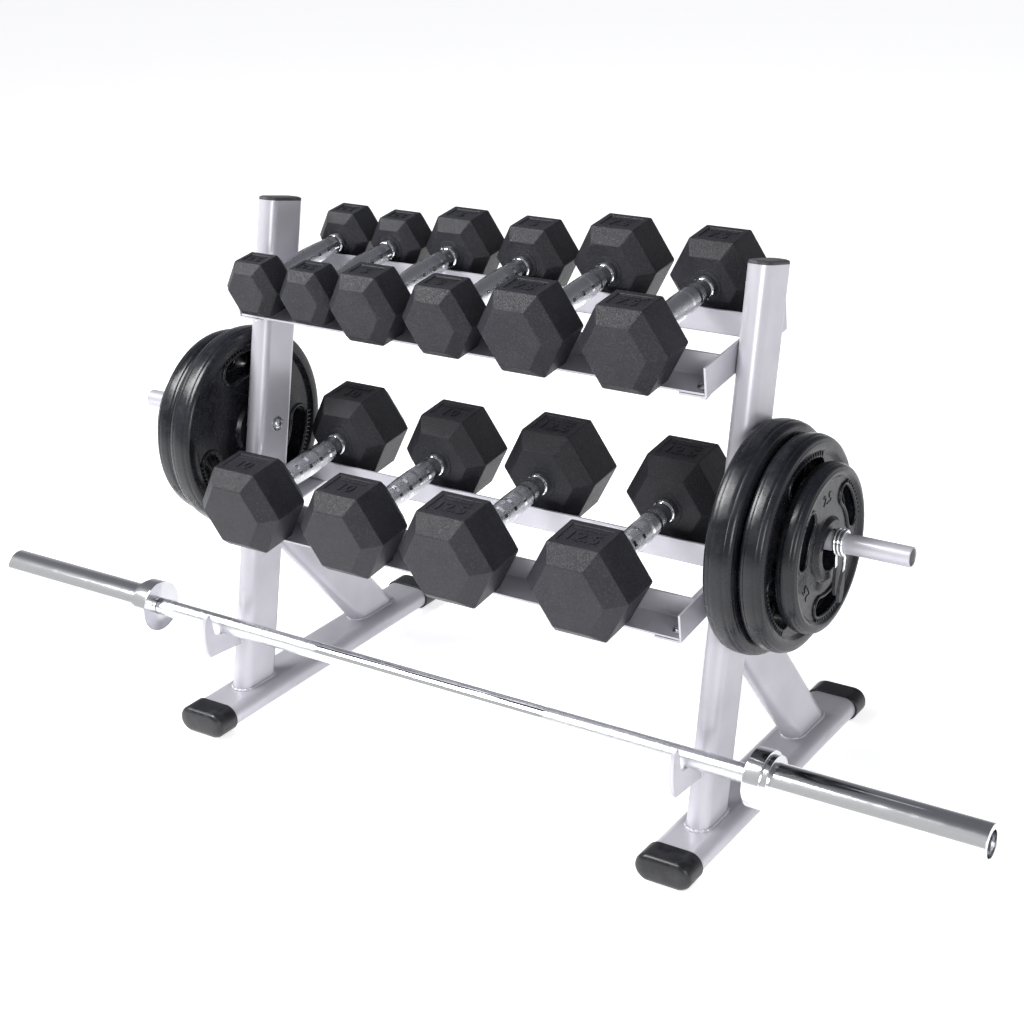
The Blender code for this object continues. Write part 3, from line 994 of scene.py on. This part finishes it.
@dataclass
class Horn:
    """Plate horn with its end plug and the bolt that holds it."""

    side: Side
    tip: float = 0.603
    bore: float = 0.0105

    def build(self) -> None:
        """Builds the horn, its plug and its bolt."""
        word = self.side.word
        start = SIDE_X + TUBE_THIN / 2
        lay = on_horn(self.side, start)
        length = self.tip - start
        profile = [(0.0, 0.0), (HORN_R, 0.0), (HORN_R, length - 0.0008), (HORN_R - 0.0008, length),
                   (self.bore + 0.0004, length), (self.bore, length - 0.0006), (self.bore, length - 0.012),
                   (0.0, length - 0.012)]
        set_down("horn_" + word, moved(turned(profile), lay), Finish.PAINT)
        profile = [(0.0, length - 0.0118), (self.bore - 0.0002, length - 0.0118), (self.bore - 0.0002, length - 0.0026),
                   (self.bore - 0.0012, length - 0.0016), (self.bore - 0.004, length - 0.0010), (0.0, length - 0.0008)]
        set_down("horn_plug_" + word, moved(turned(profile), lay), Finish.PLUG)
        face = -TUBE_THIN - 0.0002
        dome = [(0.0, face - 0.0062), (0.0032, face - 0.0059), (0.0058, face - 0.0047), (0.0074, face - 0.0030),
                (0.0078, face - 0.0016), (0.0105, face - 0.0015), (0.0105, face), (0.0, face)]
        bolt = rounded(turned(dome, 48), 0.0003, 2, 50.0)
        set_down("horn_bolt_" + word, moved(bolt, lay), Finish.ZINC)


@dataclass
class GripPlate:
    """Rubber-coated plate with three hand grips."""

    side: Side
    size: str
    radius: float
    thick: float
    start: float
    mark: str
    turn: float
    bore: float = 0.0255
    rim_share: float = 0.84
    groove: float = 0.006
    spread: float = math.radians(29.0)

    def grip(self, middle: float, depth: float, start: float, grow: float = 0.0) -> Mesh:
        """Kidney-shaped block through the plate, round at both ends.

        Args:
            middle: where the grip sits round the plate.
            depth: its length along X; 0 leaves it flat.
            start: where it starts along X.
            grow: how far its outline stands outside the grip's own.

        Returns:
            The block.
        """
        centre, half = self.radius * 0.68, self.radius * 0.12
        spread = self.spread - half / centre
        half += grow
        mesh = bmesh.new()

        def sweep(near: float, far: float, angle: float, pivot: Sequence[float], turn: float, steps: int) -> None:
            """Sweeps a radial edge about a pivot.

            Args:
                near: inner radius of the edge.
                far: outer radius of the edge.
                angle: where the edge lies round the plate.
                pivot: centre of the sweep.
                turn: how far it sweeps.
                steps: faces along the sweep.
            """
            arm = Matrix.Rotation(angle, 3, "X") @ Vector((0, 1, 0))
            ends = [mesh.verts.new(arm * near), mesh.verts.new(arm * far)]
            edge = mesh.edges.new(ends)
            bmesh.ops.spin(
                mesh, geom=ends + [edge], cent=pivot, axis=(1, 0, 0), dvec=(0, 0, 0), angle=turn, steps=steps,
                use_merge=False, use_duplicate=False)

        for near, far in ((centre - half, centre), (centre, centre + half)):
            sweep(near, far, middle - spread, (0, 0, 0), 2 * spread, 16)
        for end, turn in ((middle - spread, -math.pi), (middle + spread, math.pi)):
            sweep(centre, centre + half, end, Matrix.Rotation(end, 3, "X") @ Vector((0, centre, 0)), turn, 10)
        bmesh.ops.remove_doubles(mesh, verts=mesh.verts, dist=1e-6)
        bmesh.ops.recalc_face_normals(mesh, faces=mesh.faces)
        bmesh.ops.dissolve_faces(mesh, faces=list(mesh.faces))
        bmesh.ops.translate(mesh, verts=mesh.verts, vec=(start, 0, 0))
        return raised(mesh, Vector((depth, 0, 0))) if depth else mesh

    def disc(self) -> Mesh:
        """Turned body of the plate, from its inner face at zero."""
        hub, rim, deep, thick = self.bore + 0.012, self.radius * self.rim_share, self.groove, self.thick
        soft = min(0.0080, thick * 0.20)
        side = self.radius - 0.0014
        near = [
            (self.bore, 0.0012), (self.bore + 0.0012, 0.0), (hub - 0.0015, 0.0), (hub, 0.0006),
            (hub + 0.0030, deep - 0.0012), (hub + 0.0052, deep), (rim - 0.0036, deep), (rim - 0.0004, deep - 0.0012),
            (rim + 0.0032, 0.0013), (rim + 0.0052, 0.0), (side - soft - 0.0016, 0.0), (side - soft - 0.0004, 0.0009)]
        for step in range(6):
            angle = math.radians(18 * step)
            near.append((side - soft + soft * math.sin(angle), 0.0009 + soft - soft * math.cos(angle)))
        near += [(side, thick * 0.27), (self.radius - 0.0003, thick * 0.27 + 0.0013), (self.radius, thick * 0.40)]
        far = [(radius, thick - x) for radius, x in reversed(near)]
        return turned(near + far, 120, True)

    def build(self) -> None:
        """Builds the plate with its grips, lips, ribs and figures."""
        name = f"plate_{self.size}_{self.side.word}"
        plate = linked("plate", stored("plate", self.disc()))
        helpers, trim = [], []
        for number in range(3):
            middle = math.radians(self.turn + 120 * number)
            helpers.append(linked("grip", stored("grip", self.grip(middle, self.thick + 0.02, -0.01))))
            cut = plate.modifiers.new("grip", "BOOLEAN")
            cut.operation, cut.solver, cut.object = "DIFFERENCE", "EXACT", helpers[-1]
            trim += self.lips(middle) + self.ribs(middle)
        trim += self.marks()
        mesh = joined([from_object(plate), *trim])
        for helper in helpers:
            bpy.data.objects.remove(helper)
        lay = on_horn(self.side, self.start, self.bore - HORN_R - 0.0003)
        set_down(name, moved(mesh, lay), Finish.PLATE, name, 40.0)

    def lips(self, middle: float) -> list[Mesh]:
        """Moulded lips round a grip on both faces.

        Args:
            middle: where the grip sits round the plate.

        Returns:
            The lip meshes.
        """
        made = []
        for x in (self.groove, self.thick - self.groove):
            flat = self.grip(middle, 0.0, x, 0.0006)
            points = [corner.vert.co.copy() for corner in flat.faces[:][0].loops]
            flat.free()
            made.append(bead(points, 0.0027))
        return made

    def ribs(self, middle: float) -> list[Mesh]:
        """Short radial ribs outside a grip, on both faces.

        Args:
            middle: where the grip sits round the plate.

        Returns:
            The rib meshes.
        """
        made = []
        arc = 2 * (self.spread - math.radians(7.0))
        count = int(self.radius * 0.80 * arc / 0.0056)
        reach = self.radius * (self.rim_share - 0.79) + 0.004
        for face in (self.groove, self.thick - self.groove):
            for number in range(count):
                rib = bmesh.new()
                bmesh.ops.create_cube(rib, size=1.0)
                bmesh.ops.scale(rib, vec=(0.0060, reach, 0.0028), verts=rib.verts)
                rounded(rib, 0.0010, 2)
                turn = Matrix.Rotation(middle + arc * (number / (count - 1) - 0.5), 4, "X")
                lay = shift((face, 0, 0)) @ turn
                made.append(moved(rib, lay @ shift((0, self.radius * 0.79 + reach / 2 + 0.0006, 0))))
        return made

    def marks(self) -> list[Mesh]:
        """Raised figures on the outer face, between the grips."""
        made = []
        for middle in (self.turn + 60.0, self.turn + 180.0, self.turn + 300.0):
            text = moved(figures(self.mark, self.radius * 0.125, 0.0016), flip(self.side.value))
            arm = spun("X", middle, 3) @ Vector((0, 1, 0))
            out = Vector((1, 0, 0))
            stand = Matrix((arm.cross(out), arm, out)).transposed().to_4x4()
            spot = arm * self.radius * 0.62 + out * (self.thick - self.groove)
            made.append(moved(text, shift(spot) @ stand))
        return made


PLATES = (
    ("large", 0.1470, 0.040, 0.3985, "10", 93.0), ("medium", 0.1360, 0.033, 0.4395, "5", 93.0),
    ("small", 0.1060, 0.027, 0.4735, "2.5", 33.0))


@dataclass
class SpringCollar:
    """Spring collar: a wire coil with two flat finger grips hanging down."""

    side: Side
    wire: float = 0.0020
    start: float = 0.5060
    reach: float = 0.058

    def build(self) -> None:
        """Builds the coil and its grips."""
        name = "spring_collar_" + self.side.word
        coil = HORN_R + self.wire + 0.0004
        pitch = 2 * self.wire + 0.0006
        first, last = math.radians(-75), math.radians(-115 + 3 * 360)

        def spot(radius: float, angle: float, x: float) -> Vector:
            """Point at a radius and angle about the horn."""
            return Vector((x, radius * math.cos(angle), radius * math.sin(angle)))

        lead, tail = first - math.radians(12), last + math.radians(12)
        end_x = pitch * (last - first) / math.tau
        path = [spot(coil + r, lead, 0.0) for r in (0.020, 0.014, 0.008, 0.003)]
        path += [spot(coil, first + (last - first) * k / 132, end_x * k / 132) for k in range(133)]
        path += [spot(coil + r, tail, end_x) for r in (0.003, 0.008, 0.014, 0.020)]
        grips = joined(self.finger(angle, x, coil) for angle, x in ((lead, 0.0), (tail, end_x)))
        lay = on_horn(self.side, self.start)
        set_down(name, moved(bead(path, self.wire, False), lay), Finish.CHROME, name, CRISP)
        set_down(name + "_grips", moved(grips, lay), Finish.PLUG, name, CRISP)

    def finger(self, angle: float, x: float, coil: float) -> Mesh:
        """Flattened finger grip, narrow at the coil and broad at its end.

        Args:
            angle: direction in which it points from the horn.
            x: where it lies along the horn.
            coil: radius of the coil.

        Returns:
            The grip's mesh.
        """
        mesh = bmesh.new()
        bmesh.ops.create_circle(mesh, cap_ends=True, radius=1.0, segments=40)
        half = (self.reach - 0.017) / 2
        for vert in mesh.verts:
            share = (vert.co.y + 1) / 2
            vert.co = Vector((vert.co.x * (0.0030 + 0.0056 * share), half * vert.co.y, 0.0))
        raised(mesh, Vector((0, 0, 0.0044)))
        rounded(mesh, 0.0014, 3, 50.0)
        bmesh.ops.translate(mesh, verts=mesh.verts, vec=(0, coil + 0.017 + half, -0.0022))
        upright = spun("Y", 90)
        return moved(mesh, shift((x, 0, 0)) @ Matrix.Rotation(angle, 4, "X") @ upright)


# ---- shelves


@dataclass
class Shelf:
    """Sloping shelf: two end brackets, two angle rails and four bolts."""

    level: Level
    sheet: float = 0.003
    bracket_x: float = SIDE_X - TUBE_THIN / 2 - 0.0003
    bracket_length: float = 0.218
    flange: float = 0.038
    web: float = 0.040
    rail_depth: float = 0.0475
    rail_height: float = 0.034

    def angle_iron(self, flange: float, web: float, length: float) -> Mesh:
        """Bent angle section along Y: the flange lies along X, the web stands along Z.

        Args:
            flange: width of the flat leg.
            web: height of the upright leg.
            length: length of the section.

        Returns:
            The mesh, with a rounded bend and softened edges.
        """
        s = self.sheet
        outline = [(0, 0), (flange, 0), (flange, s), (s, s), (s, web), (0, web)]
        mesh = outline_block([(x, 0, z) for x, z in outline], Vector((0, length, 0)))
        for corner, radius in (((0.0, 0.0), 0.0032), ((s, s), 0.0012)):
            bevelled(mesh, [e for e in mesh.edges if all(
                abs(v.co.x - corner[0]) < 1e-6 and abs(v.co.z - corner[1]) < 1e-6 for v in e.verts)], radius, 4)
        return rounded(mesh, 0.0005, 2, 40.0)

    def build(self) -> None:
        """Builds the brackets, rails, welds and bolts."""
        word = self.level.word
        for side in Side:
            sign = side.value
            lay = self.level.place(sign * self.bracket_x) @ flip(-sign)
            mesh = moved(self.angle_iron(self.flange, self.web, self.bracket_length), lay)
            set_down(f"{word}_bracket_{side.word}", mesh, Finish.PAINT)
            self.weld(side)
            for end, depth in (("front", 0.019), ("rear", 0.196)):
                self.bolt(f"{word}_bolt_{end}_{side.word}", sign * (self.bracket_x - 0.0137), depth)
        half = self.bracket_x - self.sheet - 0.0005
        for end, depth, facing in (("front", 0.001 + self.rail_depth, -1), ("rear", 0.169, 1)):
            rail = self.angle_iron(self.rail_depth, self.rail_height, 2 * half)
            turn = spun("Z", 90 * facing)
            lay = self.level.place(half * facing, depth, self.sheet + 0.0003) @ turn
            set_down(f"{word}_{end}_rail", moved(rail, lay), Finish.PAINT)

    def weld(self, side: Side) -> None:
        """Weld beads along the bracket's upper and lower edges, where it crosses the upright.

        Args:
            side: the rack's end.
        """
        x = side.value * (self.bracket_x - 0.0001)
        lift = self.level.place()
        centre = ORIGIN + upright_point(0.0)
        run = (lift.to_3x3() @ Vector((0, 1, 0))).dot(BACK)
        beads = []
        for height in (0.0002, self.web - 0.0002):
            middle = -(lift @ Vector((x, 0.0, height)) - centre).dot(BACK) / run
            path = [lift @ Vector((x, middle + (step / 25 - 0.5) * 0.042, height)) for step in range(26)]
            beads.append(bead(path, 0.0021, False, 0.18))
        set_down(f"{self.level.word}_bracket_weld_{side.word}", joined(beads), Finish.PAINT, crease=SOFT)

    def bolt(self, name: str, x: float, depth: float) -> None:
        """Domed bolt through rail and bracket, with a hexagon nut below.

        Args:
            name: the CAD node's name.
            x: distance from the rack's middle.
            depth: distance up the slope.
        """
        seat = self.sheet * 2 + 0.0004
        dome = [(0.0, seat + 0.0046), (0.0026, seat + 0.0044), (0.0052, seat + 0.0034), (0.0070, seat + 0.0019),
                (0.0078, seat + 0.0006), (0.0080, seat), (0.0038, seat), (0.0038, -0.0096), (0.0030, -0.0102),
                (0.0, -0.0102)]
        nut = moved(hexagon(0.0075, 0.0063, 0.0006), spun("Y", 90) @ shift((0, 0, -0.0068)))
        lay = self.level.place(x, depth) @ spun("Y", -90)
        set_down(name, moved(joined([turned(dome, 40), nut]), lay), Finish.ZINC)


# ---- dumbbells


@dataclass(frozen=True)
class Weight:
    """Sizes of one dumbbell weight.

    Attributes are the across-corner radius, the full hexagon's width, the depth of a chamfer, the handle's length,
    its radius and the figures on it.
    """

    radius: float
    width: float
    chamfer: float
    handle: float
    grip: float
    mark: str


WEIGHTS = {
    "2.5": Weight(0.0445, 0.036, 0.0140, 0.142, 0.0125, "2.5"),
    "5": Weight(0.0545, 0.043, 0.0170, 0.144, 0.0135, "5"),
    "7.5": Weight(0.0627, 0.049, 0.0195, 0.144, 0.0140, "7.5"),
    "10": Weight(0.0690, 0.055, 0.0205, 0.148, 0.0145, "10"),
    "12.5": Weight(0.0735, 0.059, 0.0215, 0.148, 0.0145, "12.5"),
}
ROWS = {
    Level.TOP: (("2.5", -0.3190), ("2.5", -0.2270), ("5", -0.1240), ("5", -0.0060), ("7.5", 0.1240), ("7.5", 0.2680)),
    Level.LOW: (("10", -0.2940), ("10", -0.1200), ("12.5", 0.0510), ("12.5", 0.2450)),
}


@dataclass
class Dumbbell:
    """Hexagonal dumbbell lying across a shelf."""

    level: Level
    number: int
    weight: Weight
    x: float
    face_share: float = 0.69
    centre: float = 0.110

    @property
    def height(self) -> float:
        """Height of the handle's axis above the shelf."""
        return max(0.0066 + self.weight.radius * math.sqrt(3) / 2, 0.0376 + self.weight.grip * 1.10)

    def build(self) -> None:
        """Builds the two heads with their figures, and the handle."""
        name = f"dumbbell_{self.level.word}_{self.number}"
        lay = self.level.place(self.x, self.centre, self.height)
        heads = []
        for facing in (-1, 1):
            turn = Matrix.Rotation(0.0 if facing < 0 else math.pi, 4, "Z")
            heads += [moved(self.head(), turn), *self.label(facing)]
        set_down(name + "_heads", moved(joined(heads), lay), Finish.PEBBLE, name, CRISP, name)
        handle = moved(self.handle(), lay @ spun("Z", 90))
        wrap_map(handle, lay.translation, lay.to_3x3() @ Vector((0, 1, 0)), Vector((1, 0, 0)))
        set_down(name + "_handle", handle, Finish.HANDLE, name, FINE)

    def head(self) -> Mesh:
        """Front head: a hexagon with chamfered faces, corners along X, its inner face towards +Y."""
        weight = self.weight
        inner = -weight.handle / 2
        face = weight.radius * self.face_share
        mesh = bmesh.new()
        bmesh.ops.create_circle(mesh, cap_ends=True, radius=face, segments=6)
        bmesh.ops.rotate(mesh, verts=mesh.verts, cent=(0, 0, 0), matrix=spun("X", 90, 3))
        bmesh.ops.rotate(mesh, verts=mesh.verts, cent=(0, 0, 0), matrix=spun("Y", 30, 3))
        bmesh.ops.translate(mesh, verts=mesh.verts, vec=(0, inner, 0))
        grow = weight.radius / face
        last = list(mesh.faces)
        for step, scale in ((weight.chamfer, grow), (weight.width, 1.0), (weight.chamfer, 1 / grow)):
            geometry = bmesh.ops.extrude_face_region(mesh, geom=last)["geom"]
            if len(mesh.faces) > 8:
                bmesh.ops.delete(mesh, geom=[f for f in last if f.is_valid], context="FACES_ONLY")
            verts = [g for g in geometry if isinstance(g, bmesh.types.BMVert)]
            bmesh.ops.translate(mesh, verts=verts, vec=(0, -step, 0))
            bmesh.ops.scale(mesh, vec=(scale, 1.0, scale), verts=verts)
            last = [g for g in geometry if isinstance(g, bmesh.types.BMFace)]
        bmesh.ops.recalc_face_normals(mesh, faces=mesh.faces)
        rounded(mesh, 0.0013, 3)
        top = max(mesh.faces, key=lambda f: (f.calc_center_median().z, f.calc_area()))
        panel = min(0.0065, weight.width * 0.15)
        bmesh.ops.inset_individual(mesh, faces=[top], thickness=panel, depth=0.0, use_even_offset=True)
        bmesh.ops.inset_individual(mesh, faces=[top], thickness=0.0008, depth=-0.0012, use_even_offset=True)
        boss = [(0.0, 0.0), (weight.grip * 1.55, 0.0), (weight.grip * 1.50, 0.0012), (weight.grip * 1.28, 0.0016),
                (0.0, 0.0016)]
        seat = moved(turned(boss, 48), shift((0, inner - 0.0004, 0)) @ Matrix.Rotation(math.pi / 2, 4, "Z"))
        return joined([mesh, seat])

    def label(self, facing: int) -> list[Mesh]:
        """Raised figures and a thin bar in the panel on top of a head.

        Args:
            facing: -1 for the front head, 1 for the rear one.

        Returns:
            The raised meshes.
        """
        weight = self.weight
        top = weight.radius * math.sqrt(3) / 2 - 0.0008
        middle = facing * (weight.handle / 2 + weight.chamfer + weight.width / 2)
        size = weight.width * 0.34
        text = figures(weight.mark, size, 0.0016)
        stand = shift((0, middle - weight.width * 0.09, top))
        bar = bmesh.new()
        bmesh.ops.create_cube(bar, size=1.0)
        bmesh.ops.scale(bar, vec=(weight.radius * 0.62, 0.0018, 0.0016), verts=bar.verts)
        rounded(bar, 0.0003, 1)
        lay = shift((0, middle + weight.width * 0.23, top))
        return [moved(text, stand), moved(bar, lay)]

    def handle(self) -> Mesh:
        """Chromed handle along X: a bulged grip between two polished rings."""
        grip = self.weight.grip
        end = self.weight.handle / 2
        half = [
            (grip * 0.90, end - 0.0004), (grip * 0.90, end - 0.0022), (grip * 1.08, end - 0.0026),
            (grip * 1.10, end - 0.0034), (grip * 1.10, end - 0.0082), (grip * 1.07, end - 0.0090),
            (grip * 0.96, end - 0.0094), (grip * 0.95, end - 0.0118), (grip * 1.00, end - 0.0124),
            (grip * 1.02, end - 0.0150), (grip * 0.98, end - 0.0190), (grip * 0.985, end - 0.0228),
            (grip * 1.03, end - 0.0300), (grip * 1.09, end - 0.0420), (grip * 1.14, end - 0.0560)]
        centre = [(grip * 1.16, 0.0)]
        left = [(radius, -x) for radius, x in half]
        profile = [(0.0, -end + 0.0004), *left, *centre, *reversed(half), (0.0, end - 0.0004)]
        return turned(profile, 56)


# ---- barbell


@dataclass
class Barbell:
    """Bar in the front hooks, with a turning sleeve at each end."""

    y: float = -0.2055
    z: float = 0.1516
    radius: float = 0.0125
    half: float = 0.780
    sleeve: float = 0.025
    flange: float = 0.0375
    flange_x: float = 0.483

    def build(self) -> None:
        """Builds the shaft, sleeves and end bolts."""
        axis = Vector((0.0, self.y, self.z))
        lay = shift(axis)
        end = self.flange_x - 0.001
        half = [(0.0107, self.half - 0.0185), (0.0107, end), (self.radius, end), (self.radius, end - 0.004),
                (self.radius - 0.0003, end - 0.0045), (self.radius - 0.0003, end - 0.0065), (self.radius, end - 0.007),
                (self.radius, 0.188), (self.radius - 0.0003, 0.187), (self.radius - 0.0003, 0.180),
                (self.radius, 0.179)]
        left = [(radius, -x) for radius, x in half]
        profile = [(0.0, -self.half + 0.0185), *left, *reversed(half), (0.0, self.half - 0.0185)]
        shaft = moved(turned(profile, 64), lay)
        wrap_map(shaft, axis, Vector((1, 0, 0)), Vector((0, 1, 0)))
        set_down("bar_shaft", shaft, Finish.SHAFT, "bar", FINE)
        for side in Side:
            turn = lay @ flip(side.value)
            name = "bar_sleeve_" + side.word
            set_down(name, moved(self.sleeve_mesh(), turn), Finish.SLEEVE, name, FINE)
            self.end_bolt("sleeve_bolt_" + side.word, turn)

    def sleeve_mesh(self) -> Mesh:
        """Sleeve along X with a broad flange, a second ring and a hollow end."""
        x, big, small = self.flange_x, self.flange, self.sleeve
        ring, end = 0.0335, self.half
        profile = [
            (0.0110, x), (big - 0.0014, x), (big - 0.0004, x + 0.0004), (big, x + 0.0014), (big, x + 0.0206),
            (big - 0.0004, x + 0.0216), (big - 0.0014, x + 0.0220), (ring, x + 0.0222), (ring, x + 0.0288),
            (ring - 0.0003, x + 0.0296), (ring - 0.0011, x + 0.0300), (small, x + 0.0304), (small, end - 0.0014),
            (small - 0.0004, end - 0.0004), (small - 0.0014, end), (0.0176, end), (0.0170, end - 0.0006),
            (0.0170, end - 0.0175), (0.0110, end - 0.0175)]
        return turned(profile, 96, True)

    def end_bolt(self, name: str, turn: Matrix) -> None:
        """Hexagon bolt with a washer in the sleeve's hollow end.

        Args:
            name: the CAD node's name.
            turn: matrix of the bar's end.
        """
        washer = turned(
            [(0.0, self.half - 0.0172), (0.0145, self.half - 0.0172), (0.0145, self.half - 0.0156),
             (0.0138, self.half - 0.0150), (0.0, self.half - 0.0150)], 48)
        head = moved(hexagon(0.0085, 0.0072, 0.0007), shift((self.half - 0.0152, 0, 0)) @ spun("Y", 90))
        set_down(name, moved(joined([washer, head]), turn), Finish.ZINC, "bar")


# ---- studio


@dataclass
class Studio:
    """Pale floor, soft lights and the camera."""

    floor_size: float = 60.0
    floor_tone: Colour = (0.90, 0.90, 0.91)
    floor_glow: float = 0.65
    lens: float = 65.667
    brightness: float = 0.58
    sky: tuple[tuple[float, Colour], ...] = (
        (0.25, (1.0, 1.0, 1.0)), (0.55, (0.80, 0.80, 0.83)), (0.76, (0.32, 0.325, 0.35)), (1.0, (0.24, 0.245, 0.27)))

    def build(self) -> None:
        """Builds the floor, lights, surroundings and camera."""
        self.floor()
        self.lights()
        self.world()
        self.camera()

    def floor(self) -> None:
        """Large pale floor that glows a little, as a lit table does."""
        mesh = bmesh.new()
        bmesh.ops.create_grid(mesh, x_segments=8, y_segments=8, size=self.floor_size / 2)
        data = stored("floor", mesh)
        data.materials.append(Graph("studio_floor").dress(
            Base_Color=(*self.floor_tone, 1.0), Roughness=0.7, Metallic=0.0, Emission_Color=(1.0, 1.0, 1.0, 1.0),
            Emission_Strength=self.floor_glow))
        floor = linked("floor", data)

    def lamp(self, name: str, where: Sequence[float], size: float, power: float, target: Sequence[float]) -> None:
        """Square soft light.

        Args:
            name: its name.
            where: its position.
            size: its width.
            power: watts.
            target: the point that it faces.
        """
        data = bpy.data.lights.new(name, "AREA")
        data.shape, data.size, data.energy = "SQUARE", size, power
        lamp = linked(name, data)
        lamp.location = where
        lamp.visible_camera = False
        lamp.rotation_mode = "QUATERNION"
        lamp.rotation_quaternion = (Vector(target) - Vector(where)).to_track_quat("-Z", "Y")

    def lights(self) -> None:
        """Large key from the upper left and a gentle fill from the right front."""
        self.lamp("key_light", (-1.66, -1.58, 2.82), 1.6, 165.0, (0.0, 0.0, 0.35))
        self.lamp("fill_light", (2.2, -1.95, 1.15), 1.0, 30.0, (0.1, 0.0, 0.4))

    def world(self) -> None:
        """Bright surroundings that darken towards the ceiling, for the chrome."""
        world = bpy.data.worlds.new("studio")
        bpy.context.scene.world = world
        graph = Graph(world)
        where = graph.place("Generated")
        slant = graph.part(where, 1) * 0.5 + graph.part(where, 2)
        sky = graph.node("ShaderNodeValToRGB", {"stops": self.sky}, {0: slant})
        back = graph.node("ShaderNodeBackground", None, {0: sky, 1: self.brightness})
        graph.node("ShaderNodeOutputWorld", None, {0: back})

    def camera(self) -> None:
        """Camera to the right of the front, looking slightly down."""
        data = bpy.data.cameras.new("camera")
        data.lens, data.sensor_width = self.lens, 36.0
        data.clip_start, data.clip_end = 0.05, 100.0
        camera = linked("camera", data)
        camera.matrix_world = Matrix((
            (0.837220, -0.186719, 0.514002, 1.338172), (0.546167, 0.332972, -0.768655, -1.993032),
            (-0.027625, 0.924265, 0.380751, 1.313329), (0.0, 0.0, 0.0, 1.0)))
        bpy.context.scene.camera = camera


def main() -> None:
    """Builds the rack, what it carries and the studio."""
    logging.basicConfig(level=logging.INFO, format="%(message)s")
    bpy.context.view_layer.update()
    bpy.context.scene.view_settings.view_transform = "Standard"
    for side in Side:
        SideFrame(side).build()
        Horn(side).build()
        for sizes in PLATES:
            GripPlate(side, *sizes).build()
        SpringCollar(side).build()
    for level in Level:
        Shelf(level).build()
    for level, row in ROWS.items():
        for number, (size, x) in enumerate(row, start=1):
            Dumbbell(level, number, WEIGHTS[size], x).build()
    Barbell().build()
    Studio().build()


if __name__ == "__main__":
    main()
